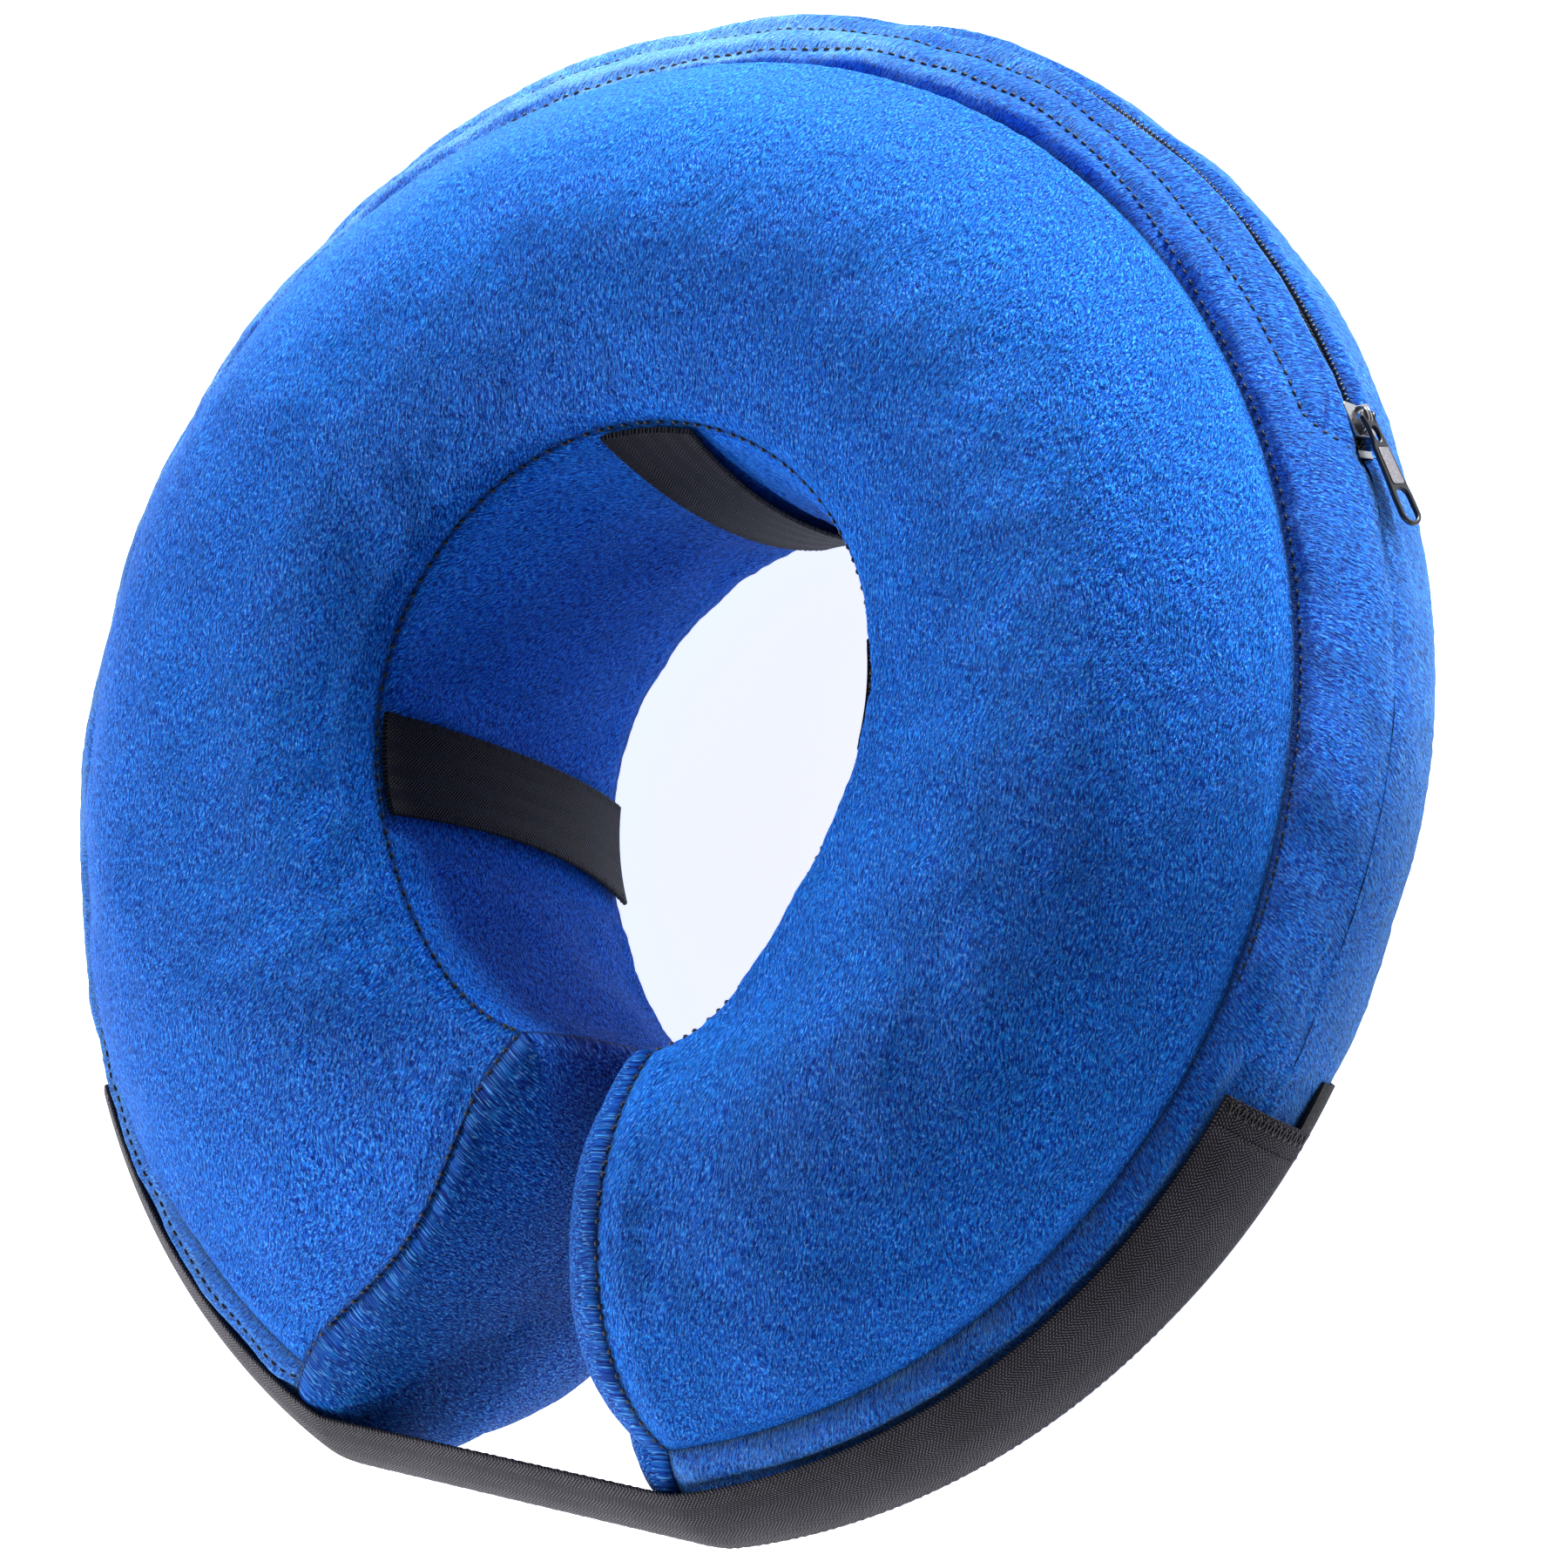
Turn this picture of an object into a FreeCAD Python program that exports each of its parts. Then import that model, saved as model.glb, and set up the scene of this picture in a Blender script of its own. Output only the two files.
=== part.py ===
"""Inflatable ring-type recovery collar for a pet, with a plush zip-on cover.

The collar lies flat on its rear face.  +Z is the axis of the neck opening and points to the
front face, and the gap between the two arms faces -Y.  The model is drawn about the centre of
the ring's outer circle, and each part is then moved so that the origin is the middle of the
whole collar's base.  Sizes are millimetres and degrees.

The soft ring is described by stations.  A station is an upright plane through one point of the
neck seam and one point of the outer seam, and the same four-sided section with bulged sides
stands in every one of them.  The left arm opens about an upright line at the outside of the
ring, and the ring is divided there.
"""
import FreeCAD, Part
import math
import os

from FreeCAD import Placement, Rotation, Vector

DIMENSIONS = [
    ("neck_seam_radius", 65.4),
    ("neck_centre_x", 4.1),
    ("neck_centre_y", 5.3),
    ("outer_seam_radius", 164.0),
    ("left_arm_shift_x", 6.0),
    ("left_arm_shift_y", -5.0),
    ("origin_shift_y", -3.4),
    ("neck_half_height", 51.6),
    ("outer_half_height", 24.7),
    ("middle_height", 63.5),
    ("pressed_depth", 0.15),
    ("face_bulge", 26.4),
    ("left_end_face_bulge", 8.0),
    ("outer_bulge", 18.6),
    ("strapped_bulge", 14.4),
    ("neck_bulge", 6.0),
    ("right_end_angle", -70.0),
    ("left_end_angle", 259.0),
    ("flex_angle", 150.0),
    ("cover_level", 0.97),
    ("bladder_level", 0.93),
    ("bladder_wall_level", 0.915),
    ("end_dome_depth", 22.0),
    ("end_dome_wall", 2.0),
    ("bladder_dome_depth", 19.0),
    ("bladder_dome_wall", 1.0),
    ("webbing_width", 25.0),
    ("webbing_thickness", 1.3),
    ("tape_thickness", 0.8),
    ("layer_clearance", 0.25),
    ("zipper_angle", 22.0),
    ("zipper_start", 32.2),
    ("zipper_stop", 140.5),
    ("zipper_slot_half", 2.2),
    ("coil_radius", 0.8),
    ("coil_offset", 1.3),
    ("coil_level", 23.95),
    ("zipper_tape_width", 10.0),
    ("tape_level", 22.9),
    ("slider_angle", 34.0),
    ("slider_width", 8.0),
    ("slider_length", 9.0),
    ("tab_length", 27.0),
    ("tab_width", 5.8),
    ("tab_thickness", 1.0),
    ("strap_left_start", 214.6),
    ("strap_left_end", 251.0),
    ("strap_right_start", 287.0),
    ("strap_right_end", 342.4),
    ("landing_end", 346.0),
    ("strap_edge_angle", 43.0),
    ("landing_edge_angle", -6.0),
    ("landing_width", 20.0),
    ("valve_angle", 60.0),
    ("valve_bore_radius", 3.2),
    ("valve_depth", 12.0),
    ("valve_wall", 1.8),
    ("valve_flange", 0.6),
    ("valve_flange_radius", 8.0),
    ("bore_overrun", 1.0),
    ("valve_hole_play", 0.1),
    ("plug_stem", 7.2),
    ("plug_stem_radius", 3.15),
    ("plug_head", 1.0),
    ("plug_head_radius", 5.4),
    ("loop_standoff", 1.6),
    ("loop_inset", 0.4),
    ("loop_seam_inset", 1.0),
    ("pin_radius", 1.05),
    ("eye_radius", 1.15),
]
SEGMENTS = 5
HOOKED_SEGMENTS = (4, 5)
LOOP_ANGLES = {"left": 201.0, "top": 100.4, "right": 10.4}

# How far each end plane swings from the common angle, at its neck corner and its outer corner,
# and how much wider the neck seam runs out there.
END_SWING = {"right": (3.1, -2.7, 16.0), "left": (8.5, -11.0, 11.3)}
END_SHARE = 0.25

# Angles between which the outer band eases from its free bulge to its strapped bulge, and
# those over which the left arm's outer circle moves inwards.
RIGHT_FREE, RIGHT_PRESSED = 22.0, -10.0
LEFT_FREE, LEFT_PRESSED = 180.0, 214.0
SHIFT_START, SHIFT_END = 152.0, 200.0

# Angles over which the front face flattens towards the seam of the left end panel.
PINCH_START, PINCH_END = 224.0, 259.0
STATION_STEP = 10.0

doc = FreeCAD.newDocument("recovery_collar")
sheet = doc.addObject("Spreadsheet::Sheet", "Dimensions")
for row, (alias, number) in enumerate(DIMENSIONS, start=1):
    sheet.set(f"A{row}", alias)
    sheet.set(f"B{row}", str(number))
    sheet.setAlias(f"B{row}", alias)
doc.recompute()

size = {alias: float(sheet.get(alias)) for alias, _ in DIMENSIONS}
parts = {}


def keep(label, obj):
    """Register a finished sub-part under the name of its file."""
    obj.Label = label
    parts[label] = obj
    return obj


def shaped(label, shape):
    """A sub-part whose surface comes from Part's own functions."""
    obj = doc.addObject("Part::Feature", label)
    obj.Shape = shape
    return keep(label, obj)


# ---------------------------------------------------------------- the ring's section


def polar(angle, radius, centre=(0.0, 0.0)):
    turn = math.radians(angle)
    return Vector(centre[0] + radius * math.cos(turn), centre[1] + radius * math.sin(turn), 0)


def end_weight(share):
    """1 at an end of the ring, easing to 0 over the last quarter of it."""
    inside = max(0.0, 1.0 - share / END_SHARE)
    return inside * inside * (3.0 - 2.0 * inside)


def left_arm_shift():
    """How far the centre of the left arm's outer circle lies from the ring's."""
    return Vector(size["left_arm_shift_x"], size["left_arm_shift_y"], 0)


def ease(low, high, value):
    """0 up to low, 1 from high on, smooth between them."""
    inside = min(1.0, max(0.0, (value - low) / (high - low)))
    return inside * inside * (3.0 - 2.0 * inside)


def strap_pressure(angle):
    """1 where the neck strap presses the outer band flatter, 0 where the band is free."""
    return max(ease(LEFT_FREE, LEFT_PRESSED, angle), ease(-RIGHT_FREE, -RIGHT_PRESSED, -angle))


class Station:
    """One upright plane across the ring, from the neck seam to the outer seam."""

    def __init__(self, angle):
        low, high = size["right_end_angle"], size["left_end_angle"]
        share = (angle - low) / (high - low)
        weights = {"right": end_weight(share), "left": end_weight(1.0 - share)}
        neck, outer, flare = angle, angle, 0.0
        for side, weight in weights.items():
            neck += weight * END_SWING[side][0]
            outer += weight * END_SWING[side][1]
            flare += weight ** 3 * END_SWING[side][2]
        centre = (size["neck_centre_x"], size["neck_centre_y"])
        self.neck = polar(neck, size["neck_seam_radius"] + flare, centre)
        shift = ease(SHIFT_START, SHIFT_END, angle)
        self.outer = polar(outer, size["outer_seam_radius"]) + left_arm_shift() * shift
        self.bulge = size["outer_bulge"]
        self.bulge += strap_pressure(angle) * (size["strapped_bulge"] - size["outer_bulge"])
        pinch = ease(PINCH_START, PINCH_END, angle)
        self.face_bulge = size["face_bulge"]
        self.face_bulge += pinch * (size["left_end_face_bulge"] - size["face_bulge"])
        self.width = (self.outer - self.neck).Length
        self.along = (self.outer - self.neck) / self.width
        self.normal = Vector(-self.along.y, self.along.x, 0)
        self.core = 0.5 * (self.width + size["outer_bulge"] - size["neck_bulge"])

    def point(self, reach, height, level=1.0, push=0.0):
        """A point of the section, drawn in towards its core by level, pushed off its plane."""
        reach = self.core + level * (reach - self.core)
        lift = size["middle_height"] + level * height
        return self.neck + self.along * reach + self.normal * push + Vector(0, 0, lift)


def arc_centre(start, end, bulge):
    """Centre and radius of the arc from start to end that bulges to the left of that line."""
    chord = math.dist(start, end)
    radius = (chord * chord / 4.0 + bulge * bulge) / (2.0 * bulge)
    middle = ((start[0] + end[0]) / 2.0, (start[1] + end[1]) / 2.0)
    left = (-(end[1] - start[1]) / chord, (end[0] - start[0]) / chord)
    back = bulge - radius
    return (middle[0] + left[0] * back, middle[1] + left[1] * back), radius


def arc_points(start, end, bulge, first=0.0, last=1.0):
    """Start, middle and end of the stretch of an arc between two shares of its turn."""
    centre, radius = arc_centre(start, end, bulge)
    begin = math.atan2(start[1] - centre[1], start[0] - centre[0])
    finish = math.atan2(end[1] - centre[1], end[0] - centre[0])
    turn = (finish - begin + math.pi) % (2.0 * math.pi) - math.pi
    turns = [begin + turn * share for share in (first, (first + last) / 2.0, last)]
    return [(centre[0] + radius * math.cos(t), centre[1] + radius * math.sin(t)) for t in turns]


def corners(station):
    return {
        "neck_front": (0.0, size["neck_half_height"]),
        "neck_rear": (0.0, -size["neck_half_height"]),
        "outer_front": (station.width, size["outer_half_height"]),
        "outer_rear": (station.width, -size["outer_half_height"]),
    }


def front_side(station):
    at = corners(station)
    return [arc_points(at["neck_front"], at["outer_front"], station.face_bulge)]


def rear_side(station):
    """The rear face, pressed flat where the collar rests on it."""
    at = corners(station)
    start, end = at["outer_rear"], at["neck_rear"]
    flat_height = -size["middle_height"] - size["pressed_depth"]
    centre, radius = arc_centre(start, end, size["face_bulge"])
    drop = flat_height - centre[1]
    half = math.sqrt(radius ** 2 - drop ** 2)
    begin = math.atan2(start[1] - centre[1], start[0] - centre[0])
    sweep = math.atan2(end[1] - centre[1], end[0] - centre[0]) - begin
    sweep = (sweep + math.pi) % (2.0 * math.pi) - math.pi
    first = (math.atan2(drop, half) - begin) / sweep
    last = (math.atan2(drop, -half) - begin) / sweep
    return [
        arc_points(start, end, size["face_bulge"], 0.0, first),
        [(centre[0] + half, flat_height), (centre[0] - half, flat_height)],
        arc_points(start, end, size["face_bulge"], last, 1.0),
    ]


def neck_side(station):
    at = corners(station)
    return [arc_points(at["neck_rear"], at["neck_front"], size["neck_bulge"])]


def minor_radius(bulge):
    """Radius of the outer band's arc at a given bulge."""
    return (size["outer_half_height"] ** 2 + bulge ** 2) / (2.0 * bulge)


def band_centre(bulge):
    """Distance from the outer circle's axis to the centre of the outer band's arc."""
    return size["outer_seam_radius"] + bulge - minor_radius(bulge)


def outer_share():
    """Share of the outer arc, from the front seam, at which the zipper runs."""
    radius = minor_radius(size["outer_bulge"])
    half_turn = math.degrees(math.asin(size["outer_half_height"] / radius))
    return (half_turn - size["zipper_angle"]) / (2.0 * half_turn)


def outer_front_side(station):
    at = corners(station)
    return [arc_points(at["outer_front"], at["outer_rear"], station.bulge, 0.0, outer_share())]


def outer_rear_side(station):
    at = corners(station)
    return [arc_points(at["outer_front"], at["outer_rear"], station.bulge, outer_share(), 1.0)]


def whole_outline(station):
    """The section's outline, from the front of the neck seam round to it again."""
    sides = front_side(station) + outer_front_side(station) + outer_rear_side(station)
    return sides + rear_side(station) + neck_side(station)


def edges_at(station, sides, level, push=0.0):
    edges = []
    for side in sides:
        points = [station.point(reach, height, level, push) for reach, height in side]
        if len(points) == 2:
            edges.append(Part.makeLine(*points))
        else:
            edges.append(Part.Arc(*points).toShape())
    return edges


def band_wire(station, sides, outside, inside):
    """Closed outline of a skin between two levels of the section."""
    outer_edges = edges_at(station, sides, outside)
    inner_edges = edges_at(station, sides, inside)
    first = [station.point(*sides[0][0], level) for level in (inside, outside)]
    last = [station.point(*sides[-1][-1], level) for level in (outside, inside)]
    ends = [Part.makeLine(*last)]
    return Part.Wire(outer_edges + ends + inner_edges[::-1] + [Part.makeLine(*first)])


def stations(start, end):
    count = max(2, math.ceil(abs(end - start) / STATION_STEP))
    return [Station(start + (end - start) * step / count) for step in range(count + 1)]


def skin(start, end, side, outside, inside):
    """A panel of the ring between two angles, as thick as the two levels are apart."""
    wires = [band_wire(st, side(st), outside, inside) for st in stations(start, end)]
    return Part.makeLoft(wires, True, False)


def dome(station, level, depth, out):
    """The rounded end of the ring at one level, standing out from its end plane."""
    steps = [(1.0, 0.0), (0.93, 0.42), (0.78, 0.78), (0.50, 1.0)]
    wires = []
    for shrink, share in steps:
        edges = edges_at(station, whole_outline(station), level * shrink, out * depth * share)
        wires.append(Part.Wire(edges))
    return Part.makeLoft(wires, True, True)


def ring_core(start, end, level):
    """The ring between two angles as a full solid at one level."""
    wires = [Part.Wire(edges_at(st, whole_outline(st), level)) for st in stations(start, end)]
    return Part.makeLoft(wires, True, False)


# ---------------------------------------------------------------- the plush cover

RIGHT, LEFT, FLEX = size["right_end_angle"], size["left_end_angle"], size["flex_angle"]
COVER = size["cover_level"]
SLOT_DEPTH = (20.0, 30.0)
SLOT_MARGIN = 1.6
SIDES = {
    "front_panel": front_side,
    "rear_panel": rear_side,
    "neck_band": neck_side,
    "outer_front_strip": outer_front_side,
    "outer_rear_strip": outer_rear_side,
}


def zipper_directions():
    """The directions off the band and across the zipper, at angle 0."""
    tilt = math.radians(size["zipper_angle"])
    return Vector(math.cos(tilt), 0, math.sin(tilt)), Vector(-math.sin(tilt), 0, math.cos(tilt))


def zipper_sector(half_width, inner, outer, start, end):
    """Curved bar about the ring's axis, centred on the zipper line of the outer band."""
    normal, across = zipper_directions()
    base = Vector(band_centre(size["outer_bulge"]), 0, size["middle_height"])
    points = [
        base + normal * inner - across * half_width,
        base + normal * outer - across * half_width,
        base + normal * outer + across * half_width,
        base + normal * inner + across * half_width,
    ]
    face = Part.Face(Part.makePolygon(points + [points[0]]))
    face.rotate(Vector(0, 0, 0), Vector(0, 0, 1), start)
    return face.revolve(Vector(0, 0, 0), Vector(0, 0, 1), end - start)


def pressed(shape):
    """The shape with its underside cut level where it rests."""
    reach = 2.0 * size["outer_seam_radius"]
    depth = size["end_dome_depth"]
    ground = Part.makeBox(2.0 * reach, 2.0 * reach, depth, Vector(-reach, -reach, -depth))
    return shape.cut(ground)


def build_cover():
    slot = zipper_sector(
        size["zipper_slot_half"], *SLOT_DEPTH,
        size["zipper_start"] - SLOT_MARGIN, size["zipper_stop"] + SLOT_MARGIN,
    )
    for name, side in SIDES.items():
        ring_skin = skin(RIGHT, FLEX, side, 1.0, COVER)
        arm_skin = skin(FLEX, LEFT, side, 1.0, COVER)
        if name.startswith("outer"):
            ring_skin = ring_skin.cut(slot)
        if name == "rear_panel":
            ring_skin, arm_skin = pressed(ring_skin), pressed(arm_skin)
        shaped(f"cover_{name}", ring_skin)
        shaped(f"arm_{name}", arm_skin)
    for side, angle, out in (("right", RIGHT, -1.0), ("left", LEFT, 1.0)):
        station = Station(angle)
        depth = size["end_dome_depth"]
        outside = dome(station, 1.0, depth, out)
        inside = dome(station, COVER, depth - size["end_dome_wall"], out)
        shaped(f"end_panel_{side}", pressed(outside.cut(inside)))


# ---------------------------------------------------------------- the air bladder and its valve


def bladder_shell(start, end, domed_angle, out):
    """Hollow wall of the bladder over one stretch of the ring, closed at the arm's end."""
    depth = size["bladder_dome_depth"]
    inner_depth = depth - size["bladder_dome_wall"]
    walls = []
    for level, depth in ((size["bladder_level"], depth), (size["bladder_wall_level"], inner_depth)):
        core = ring_core(start, end, level)
        walls.append(core.fuse(dome(Station(domed_angle), level, depth, out)))
    return walls[0].cut(walls[1])


def valve_place():
    """Point on the bladder's flat rear wall that the valve is welded into."""
    station = Station(size["valve_angle"])
    flat = rear_side(station)[1]
    reach = (flat[0][0] + flat[1][0]) / 2.0
    return station.point(reach, flat[0][1], size["bladder_level"])


def build_bladder():
    reach = 2.0 * size["outer_seam_radius"]
    middle = size["middle_height"]
    half = 2.0 * middle
    front_half = Part.makeBox(2 * reach, 2 * reach, half, Vector(-reach, -reach, middle))
    rear_half = Part.makeBox(2 * reach, 2 * reach, half, Vector(-reach, -reach, middle - half))
    hole_radius = size["valve_bore_radius"] + size["valve_wall"] + size["valve_hole_play"]
    hole_depth = size["valve_depth"]
    valve_hole = Part.makeCylinder(
        hole_radius, 2.0 * hole_depth, valve_place() - Vector(0, 0, hole_depth)
    )
    for prefix, start, end, domed, out in (
        ("", RIGHT, FLEX, RIGHT, -1.0),
        ("arm_", FLEX, LEFT, LEFT, 1.0),
    ):
        shell = bladder_shell(start, end, domed, out)
        shaped(f"{prefix}bladder_front_sheet", shell.common(front_half))
        rear = shell.common(rear_half)
        if not prefix:
            rear = rear.cut(valve_hole)
        shaped(f"{prefix}bladder_rear_sheet", rear)


def bound(obj, **expressions):
    for prop, expression in expressions.items():
        obj.setExpression(prop, expression)
    return obj


def build_valve():
    """Push-in inflation valve: a flanged tube in the rear wall and the plug that closes it."""
    place = valve_place()
    down = Rotation(Vector(1, 0, 0), 180)
    flange = doc.addObject("Part::Cylinder", "ValveFlange")
    bound(flange, Radius="Dimensions.valve_flange_radius", Height="Dimensions.valve_flange")
    tube = doc.addObject("Part::Cylinder", "ValveTube")
    bound(
        tube,
        Radius="Dimensions.valve_bore_radius + Dimensions.valve_wall",
        Height="Dimensions.valve_depth",
    )
    tube.Placement.Base = Vector(0, 0, -size["valve_depth"])
    outside = doc.addObject("Part::MultiFuse", "ValveOutside")
    outside.Shapes = [flange, tube]
    bore = doc.addObject("Part::Cylinder", "ValveBore")
    bound(
        bore,
        Radius="Dimensions.valve_bore_radius",
        Height="Dimensions.valve_depth + 2 * Dimensions.bore_overrun",
    )
    bore.Placement.Base = Vector(0, 0, -size["valve_depth"] - size["bore_overrun"])
    base = doc.addObject("Part::Cut", "ValveBase")
    base.Base, base.Tool = outside, bore
    base.Placement = Placement(place, down)
    keep("valve_base", base)

    stem = doc.addObject("Part::Cylinder", "PlugStem")
    bound(stem, Radius="Dimensions.plug_stem_radius", Height="Dimensions.plug_stem")
    stem.Placement.Base = Vector(0, 0, size["valve_flange"] - size["plug_stem"])
    head = doc.addObject("Part::Cylinder", "PlugHead")
    bound(head, Radius="Dimensions.plug_head_radius", Height="Dimensions.plug_head")
    head.Placement.Base = Vector(0, 0, size["valve_flange"])
    plug = doc.addObject("Part::MultiFuse", "ValvePlug")
    plug.Shapes = [stem, head]
    plug.Placement = Placement(place, down)
    keep("valve_plug", plug)


# ---------------------------------------------------------------- webbing on the outer band


def turned(name, face, start, end, axis=Vector(0, 0, 0)):
    """An outline drawn at angle 0, turned about an upright axis from one angle to another."""
    outline = doc.addObject("Part::Feature", f"{name}Outline")
    face.rotate(axis, Vector(0, 0, 1), start)
    outline.Shape = face
    strip = doc.addObject("Part::Revolution", name)
    strip.Source = outline
    strip.Base, strip.Axis = axis, Vector(0, 0, 1)
    strip.Angle = end - start
    return strip


def band_section(bulge, inner, outer, low, high, angle=0.0, centre=Vector(0, 0, 0)):
    """Outline of a strip that lies on the outer band's arc, at one angle round the ring."""

    def at(radius, turn):
        tilt = math.radians(turn)
        reach = band_centre(bulge) + radius * math.cos(tilt)
        lift = size["middle_height"] + radius * math.sin(tilt)
        return polar(angle, reach) + centre + Vector(0, 0, lift)

    middle = (low + high) / 2.0
    outside = Part.Arc(at(outer, low), at(outer, middle), at(outer, high)).toShape()
    inside = Part.Arc(at(inner, high), at(inner, middle), at(inner, low)).toShape()
    top = Part.makeLine(at(outer, high), at(inner, high))
    bottom = Part.makeLine(at(inner, low), at(outer, low))
    return Part.Wire([outside, top, inside, bottom])


def band_patch(name, section, start, end, centre=Vector(0, 0, 0)):
    """Curved strip with a given section, turned about the outer circle's axis."""
    return turned(name, Part.Face(section), start, end, centre)


STRAPPED = size["strapped_bulge"]
SURFACE = minor_radius(STRAPPED) + size["layer_clearance"]
LANDING_TOP = SURFACE + size["tape_thickness"]
HOOK_BOTTOM = LANDING_TOP + size["layer_clearance"]
STRAP_BOTTOM = HOOK_BOTTOM + size["tape_thickness"]
STRAP_TOP = STRAP_BOTTOM + size["webbing_thickness"]
SEWN_TOP = SURFACE + size["webbing_thickness"]
STRAP_HIGH = size["strap_edge_angle"]
STRAP_LOW = STRAP_HIGH - math.degrees(size["webbing_width"] / STRAP_BOTTOM)
LANDING_HIGH = size["landing_edge_angle"]
LANDING_LOW = LANDING_HIGH - math.degrees(size["landing_width"] / SURFACE)
HOOK_MARGIN = 3.0
HOOK_GAP = 0.4


def build_strap():
    left, turns = left_arm_shift(), (STRAP_LOW, STRAP_HIGH)
    sewn_section = band_section(STRAPPED, SURFACE, SEWN_TOP, *turns, centre=left)
    sewn = band_patch(
        "StrapSewn", sewn_section, size["strap_left_start"], size["strap_left_end"], left
    )
    keep("strap_sewn_end", sewn)
    bridge = Part.makeLoft([
        band_section(STRAPPED, SURFACE, SEWN_TOP, *turns, size["strap_left_end"], left),
        band_section(STRAPPED, STRAP_BOTTOM, STRAP_TOP, *turns, size["strap_right_start"]),
    ], True, True)
    shaped("strap_bridge", bridge)
    span = (size["strap_right_end"] - size["strap_right_start"]) / SEGMENTS
    for number in range(1, SEGMENTS + 1):
        start = size["strap_right_start"] + span * (number - 1)
        end = start + span
        section = band_section(STRAPPED, STRAP_BOTTOM, STRAP_TOP, *turns)
        keep(f"strap_segment_{number}", band_patch(f"Strap{number}", section, start, end))
        if number in HOOKED_SEGMENTS:
            section = band_section(
                STRAPPED, HOOK_BOTTOM, STRAP_BOTTOM, STRAP_LOW + HOOK_MARGIN, STRAP_HIGH - HOOK_MARGIN
            )
            hook = band_patch(f"Hook{number}", section, start + HOOK_GAP, end - HOOK_GAP)
            keep(f"hook_patch_{number}", hook)
    section = band_section(STRAPPED, SURFACE, LANDING_TOP, LANDING_LOW, LANDING_HIGH)
    start = size["strap_right_start"] + HOOK_MARGIN
    keep("landing_tape", band_patch("LandingTape", section, start, size["landing_end"]))


def build_neck_loops():
    """Three upright webbing keepers for the pet's own collar, sewn at the two neck seams."""
    half = size["neck_half_height"] - size["loop_seam_inset"]
    centre = Vector(size["neck_centre_x"], size["neck_centre_y"], 0)
    bulge = size["neck_bulge"] + size["loop_standoff"]
    sweep = math.degrees(size["webbing_width"] / size["neck_seam_radius"])
    base = centre + Vector(size["neck_seam_radius"] - size["loop_inset"], 0, size["middle_height"])
    inner, outer = (
        [base + Vector(reach, 0, height) for reach, height in arc_points((0.0, -half), (0.0, half), at)]
        for at in (bulge, bulge + size["webbing_thickness"])
    )
    outer = [point - Vector(size["loop_inset"], 0, 0) for point in outer]
    edges = [
        Part.Arc(*inner).toShape(),
        Part.makeLine(inner[2], outer[2]),
        Part.Arc(*outer[::-1]).toShape(),
        Part.makeLine(outer[0], inner[0]),
    ]
    for side, angle in LOOP_ANGLES.items():
        face = Part.Face(Part.Wire(edges))
        face.rotate(centre, Vector(0, 0, 1), angle - sweep / 2.0)
        shaped(f"neck_loop_{side}", face.revolve(centre, Vector(0, 0, 1), sweep))


# ---------------------------------------------------------------- the zipper

TAPE_CLOTH = 0.4
TAPE_MARGIN = 1.0
STOP_MARGIN = 0.7
STOP_LEVELS = (22.9, 25.2)
STOP_HALVES = (0.9, 2.0)

# Distances from the centre of the band's arc: the slider's front plate, the web between its
# plates, its back plate, the bail, and the pin and the blade of the tab.
FRONT_PLATE = (26.1, 27.1)
SLIDER_WEB = (22.8, 26.2)
BACK_PLATE = (22.3, 22.85)
BAIL = (27.1, 30.2)
PIN_LEVEL = 28.8
TAB_EARS = (27.75, 29.85)
TAB_BLADE = (28.3, 29.3)

# Half lengths and half widths of the web, the back plate and the bail.
WEB_HALVES = (3.0, 0.3)
BACK_HALF_WIDTH = 1.9
BAIL_HALVES = (3.0, 0.7)
EAR_GAP = 0.95
EAR_REACH = (-5.4, 1.2)
BLADE_START = -4.0
HOLE_HALF_WIDTH = 1.3
HOLE_REACH = (3.2, 8.2)


def zipper_frame(angle):
    """Placement whose X leaves the band, Y runs along the zipper and Z lies across it."""
    tilt = Rotation(Vector(0, 1, 0), -size["zipper_angle"])
    turn = Rotation(Vector(0, 0, 1), angle)
    base = polar(angle, band_centre(size["outer_bulge"])) + Vector(0, 0, size["middle_height"])
    return Placement(base, turn.multiply(tilt))


def plate(name, low, high):
    box = doc.addObject("Part::Box", name)
    box.Length, box.Width, box.Height = (high[i] - low[i] for i in range(3))
    box.Placement.Base = Vector(*low)
    return box


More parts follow.
